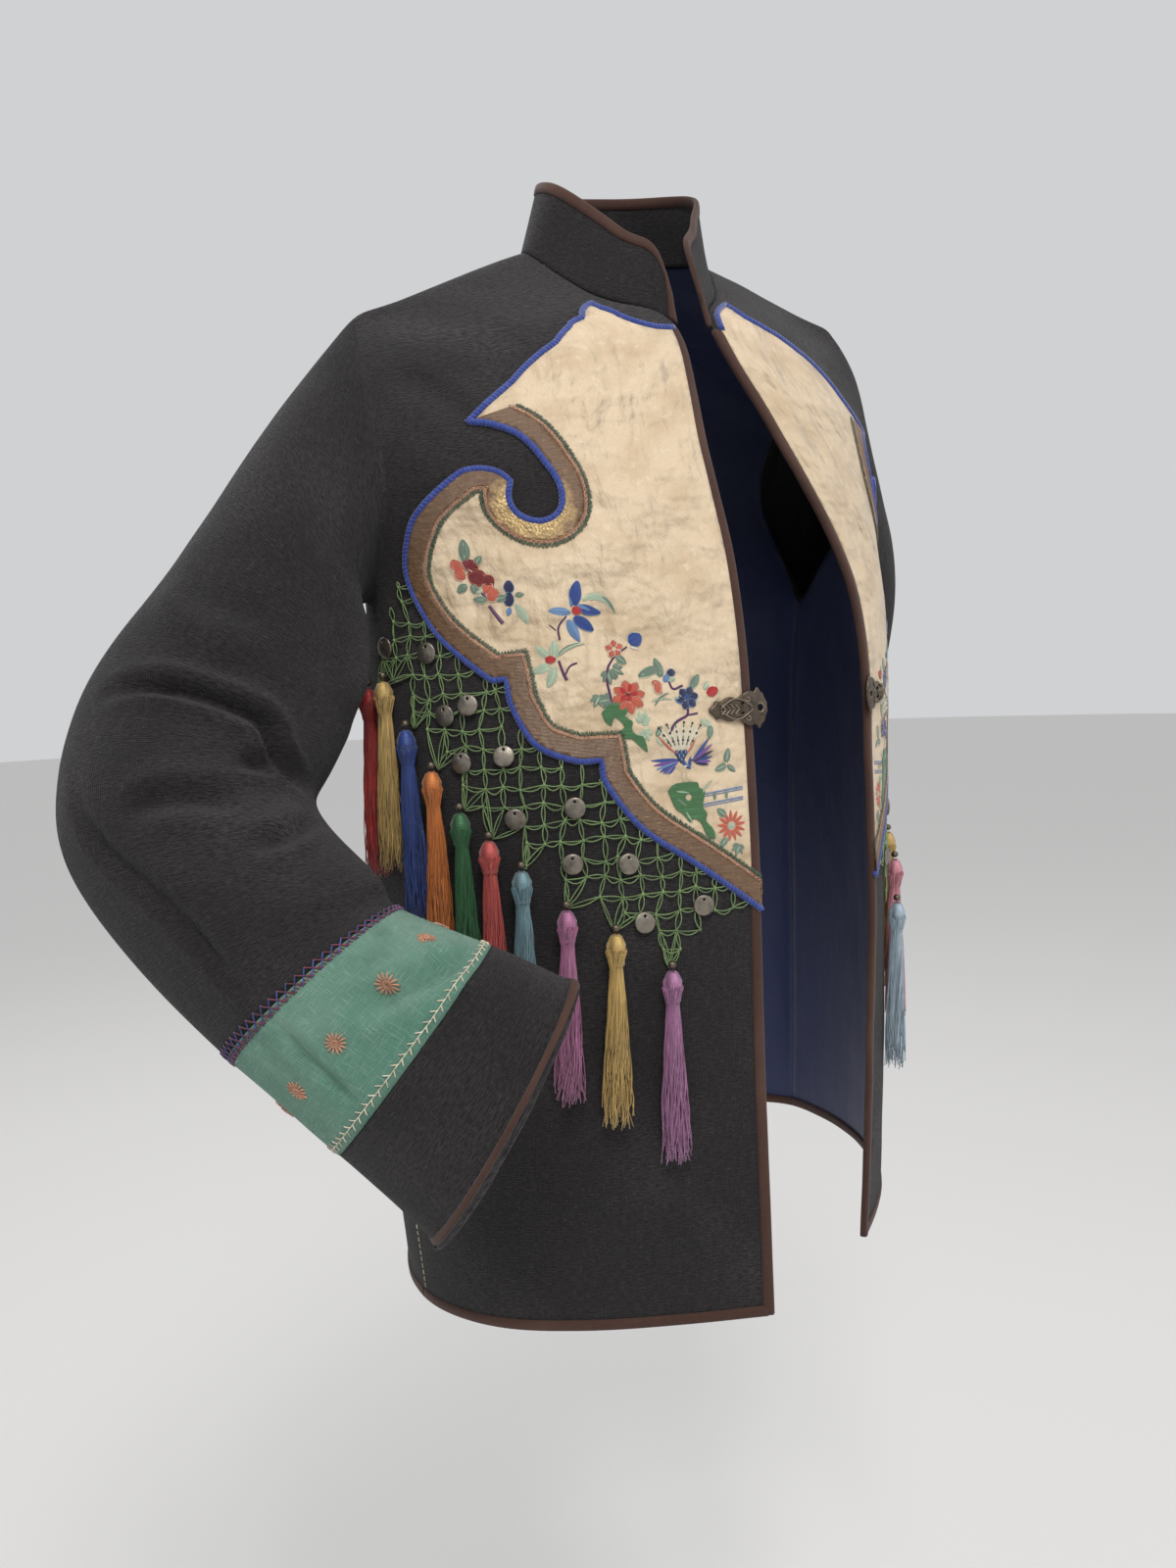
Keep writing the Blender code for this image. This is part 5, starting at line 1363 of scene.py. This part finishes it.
def add_camera():
    turn, down, roll = (math.radians(a) for a in (CAMERA_HEADING, CAMERA_DOWN, CAMERA_ROLL))
    ahead = np.array([-math.sin(turn) * math.cos(down), math.cos(turn) * math.cos(down), -math.sin(down)])
    right = np.array([math.cos(turn), math.sin(turn), 0.0])
    up = np.cross(right, ahead)
    x = right * math.cos(roll) + up * math.sin(roll)
    y = up * math.cos(roll) - right * math.sin(roll)
    made = bpy.data.objects.new("camera", bpy.data.cameras.new("camera"))
    made.data.lens = CAMERA_LENS
    made.data.sensor_width = 36.0
    made.matrix_world = Matrix([[x[i], y[i], -ahead[i], CAMERA_AT[i]] for i in range(3)] + [[0, 0, 0, 1]])
    bpy.context.scene.collection.objects.link(made)
    bpy.context.scene.camera = made


def add_light(name, place, aim, size, power, colour=(1.0, 1.0, 1.0)):
    lamp = bpy.data.lights.new(name, "AREA")
    lamp.size, lamp.energy, lamp.color = size, power, colour
    made = bpy.data.objects.new(name, lamp)
    made.location = place
    made.rotation_euler = (Vector(aim) - Vector(place)).to_track_quat("-Z", "Y").to_euler()
    bpy.context.scene.collection.objects.link(made)


def add_stage():
    floor = bpy.data.meshes.new("floor")
    ring = [(14 * math.cos(a), 14 * math.sin(a), FLOOR_LEVEL) for a in np.arange(64) * math.pi / 32]
    floor.from_pydata(ring, [], [list(range(64))])
    look = Look("floor", (0.78, 0.77, 0.75), 0.9)
    floor.materials.append(look.made)
    made = bpy.data.objects.new("floor", floor)
    bpy.context.scene.collection.objects.link(made)
    world = bpy.data.worlds.new("studio")
    world.use_nodes = True
    world.node_tree.nodes["Background"].inputs["Color"].default_value = (0.90, 0.91, 0.93, 1.0)
    world.node_tree.nodes["Background"].inputs["Strength"].default_value = 0.70
    bpy.context.scene.world = world
    bpy.context.scene.view_settings.view_transform = "Standard"
    add_light("key", (-0.9, -1.7, 1.9), (0.0, -0.1, -0.35), 0.9, 46, (1.0, 0.97, 0.93))
    add_light("fill", (2.2, -1.8, 0.4), (0.0, 0.0, -0.4), 2.2, 9, (0.95, 0.97, 1.0))
    add_light("back", (0.6, 2.4, 1.6), (0.0, 0.0, -0.3), 2.0, 22)


# ---- the whole jacket ----------------------------------------------------------------------------
# Part, flat places along the crease, its half width, and its depth (below 0 for a ridge).
CREASES = [
    ("sleeve_right", [(0.055, 0.265), (0.095, 0.255), (0.135, 0.255), (0.155, 0.260), (0.170, 0.280),
                      (0.190, 0.300), (0.210, 0.310)], 0.006, 0.0140),
    ("sleeve_right", [(0.150, 0.300), (0.165, 0.300), (0.180, 0.300)], 0.006, 0.0075),
    ("sleeve_right", [(0.090, 0.335), (0.115, 0.330), (0.155, 0.335)], 0.0085, 0.0080),
    ("sleeve_right", [(0.140, 0.370), (0.170, 0.360), (0.200, 0.340)], 0.007, 0.0085),
    ("sleeve_right", [(0.055, 0.300), (0.070, 0.350), (0.090, 0.400), (0.095, 0.465)], 0.006, 0.0055),
    ("band_right", [(0.095, 0.465), (0.090, 0.500), (0.085, 0.540)], 0.005, 0.0042),
    ("band_right", [(0.125, 0.500), (0.165, 0.520), (0.205, 0.535)], 0.0085, 0.0085),
    ("sleeve_right", [(0.185, 0.080), (0.195, 0.140), (0.200, 0.215)], 0.018, -0.0075),
    ("sleeve_right", [(0.040, 0.190), (0.085, 0.210), (0.140, 0.205)], 0.012, -0.0045),
    ("sleeve_right", [(0.300, 0.250), (0.335, 0.265), (0.370, 0.270)], 0.009, 0.0060),
    ("sleeve_left", [(0.060, 0.280), (0.100, 0.275), (0.150, 0.290), (0.200, 0.325)], 0.008, 0.0070),
    ("sleeve_left", [(0.080, 0.340), (0.120, 0.345), (0.170, 0.370)], 0.009, 0.0050),
    ("sleeve_left", [(0.290, 0.300), (0.340, 0.290), (0.390, 0.300)], 0.009, 0.0060),
    ("front_right", [(0.225, -0.065), (0.190, -0.095), (0.160, -0.135)], 0.009, 0.0022),
    ("back", [(-0.100, -0.110), (-0.060, -0.150), (-0.030, -0.200)], 0.012, 0.0028),
    ("back", [(0.100, -0.110), (0.060, -0.150), (0.030, -0.200)], 0.012, 0.0028)]


def main():
    add_camera()
    add_stage()
    looks = {
        "cloth": charcoal_cloth(), "lining": navy_lining(), "binding": brown_binding(), "band": teal_band(),
        "satin": cream_satin(), "piping": blue_piping(), "ribbon": gold_brown_ribbon(),
        "net": thread("green_net", (0.175, 0.285, 0.095), 0.5, 1.4),
        "disc": pewter("disc_pewter", (0.27, 0.24, 0.20)),
        "clasp": pewter("clasp_pewter", (0.125, 0.098, 0.074)),
        "bead": pewter("bead_dark", (0.16, 0.13, 0.10)),
        "relief": pewter("clasp_relief", (0.27, 0.22, 0.165)),
        "silk": {name: thread("silk_" + name, colour, 0.38) for name, colour in SILK.items()},
        "floss": {name: thread("floss_" + name, colour, 0.55) for name, colour in FLOSS.items()},
        "stitch": {name: stitched("stitch_" + name, colour) for name, colour in FLOSS.items()},
    }
    jacket = Cloth()
    centre = [jacket.add(row_line(row_at(BACK_RIGHT, i / ROW_SPLIT), 0.0))
              for i in range(NECK * ROW_SPLIT + 1)]
    necks, ends = {}, {}
    for hand, rows, back_rows, sections in (("right", FRONT_RIGHT, BACK_RIGHT, SLEEVE_RIGHT),
                                            ("left", FRONT_LEFT, BACK_LEFT, SLEEVE_LEFT)):
        front_neck, back_neck, ends[hand] = weave_half(jacket, hand, rows, back_rows, sections, centre)
        necks[hand] = front_neck, back_neck
    jacket.smooth(LEVELS)
    loosen(jacket)
    jacket.settle()
    for part, places, width, depth in CREASES:
        crease(jacket, part, places, width, depth)
    jacket.settle()

    shells = [
        ("cloth", ("front_right", "front_left", "back", "sleeve_right", "sleeve_left"), "cloth",
         "charcoal_cloth",
         ["front_right", "front_left", "back", "sleeve_upper_right", "sleeve_lower_right",
          "sleeve_upper_left",
          "sleeve_lower_left"]),
        ("band_right", ("band_right",), "band", "teal_band", "sleeve_band_right"),
        ("band_left", ("band_left",), "band", "teal_band", "sleeve_band_left"),
        ("cuff_cloth_right", ("cuff_right",), "cloth", "charcoal_cloth", "cuff_right"),
        ("cuff_cloth_left", ("cuff_left",), "cloth", "charcoal_cloth", "cuff_left")]
    for name, parts, look, slot, nodes in shells:
        proud = BAND_PROUD if look == "band" else 0.0
        made = jacket.piece(name, parts, proud, -CLOTH, looks[look], nodes)
    for part in ("front_right", "front_left", "back"):
        name = "inner_" + part
        made = jacket.piece(name, (part,), -CLOTH - PART_GAP, -CLOTH - LINING, looks["lining"], "lining_"
                            + part)

    necklines = (necks["right"][0] + necks["right"][1] + necks["left"][1][-2::-1] + necks["left"][0][::-1])
    collar, length, places = make_collar(jacket, necklines)
    made = collar.piece("stand_collar", ("collar",), 0.0, -COLLAR_WALL, looks["cloth"], "collar")
    run, heights = np.array(places[-1]).T
    along = np.linspace(0, length, 150)
    top = list(zip(along, np.interp(along, run, heights)))
    rim = [(0.0, h) for h in np.linspace(0, top[0][1], 8)] + top[1:-1]
    rim += [(length, h) for h in np.linspace(top[-1][1], 0, 8)]
    inside = []
    for u, v in rim:
        on_top = BINDING <= u <= length - BINDING
        level = max(v - BINDING, 0) if on_top else min(v, COLLAR_HEIGHT * COLLAR_FRONT - BINDING)
        inside.append((min(max(u, BINDING), length - BINDING), level))
    made = binding("collar_binding", collar, "collar", rim, inside, looks["binding"], "binding_collar", 0.7)

    for hand in SIDES:
        part = "front_" + hand
        edge_levels = np.linspace(HEM_LEVEL + 0.001, NECK_LEVEL, 150)
        made = binding("front_binding_" + hand, jacket, part, [(0.0, z) for z in edge_levels],
                       [(BINDING, z) for z in edge_levels], looks["binding"], "binding_front_" + hand)
        faces, uv = jacket.pick(part)
        width = uv[..., 0][uv[..., 1] < HEM_LEVEL + 0.010].max()
        outs = np.linspace(0.004, width, 60)
        low = uv[..., 1].min()
        made = binding("hem_binding_" + hand, jacket, part, [(x, low) for x in outs],
                       [(x, low + BINDING) for x in outs], looks["binding"], "binding_hem_front_" + hand)
        edge = make_panel(jacket, hand, looks)
        make_net(jacket, hand, edge, looks)
        make_discs(jacket, hand, looks)
        for number, spot in enumerate(TASSELS):
            make_tassel(jacket, hand, number + 1, spot, looks)
        make_embroidery(jacket, hand, looks)
        make_sleeve_trim(jacket, hand, ends[hand], looks)
        make_side_seam(jacket, hand, FRONT_RIGHT if hand == "right" else FRONT_LEFT, looks)
        make_clasp(jacket, hand, looks)
    faces, uv = jacket.pick("back")
    low_outs = uv[..., 0][uv[..., 1] < HEM_LEVEL + 0.015]
    outs = np.linspace(low_outs.min(), low_outs.max(), 130)
    made = binding("hem_binding_back", jacket, "back", [(x, HEM_LEVEL) for x in outs],
                   [(x, HEM_LEVEL + BINDING) for x in outs], looks["binding"], "binding_hem_back")
    bpy.context.view_layer.update()


main()
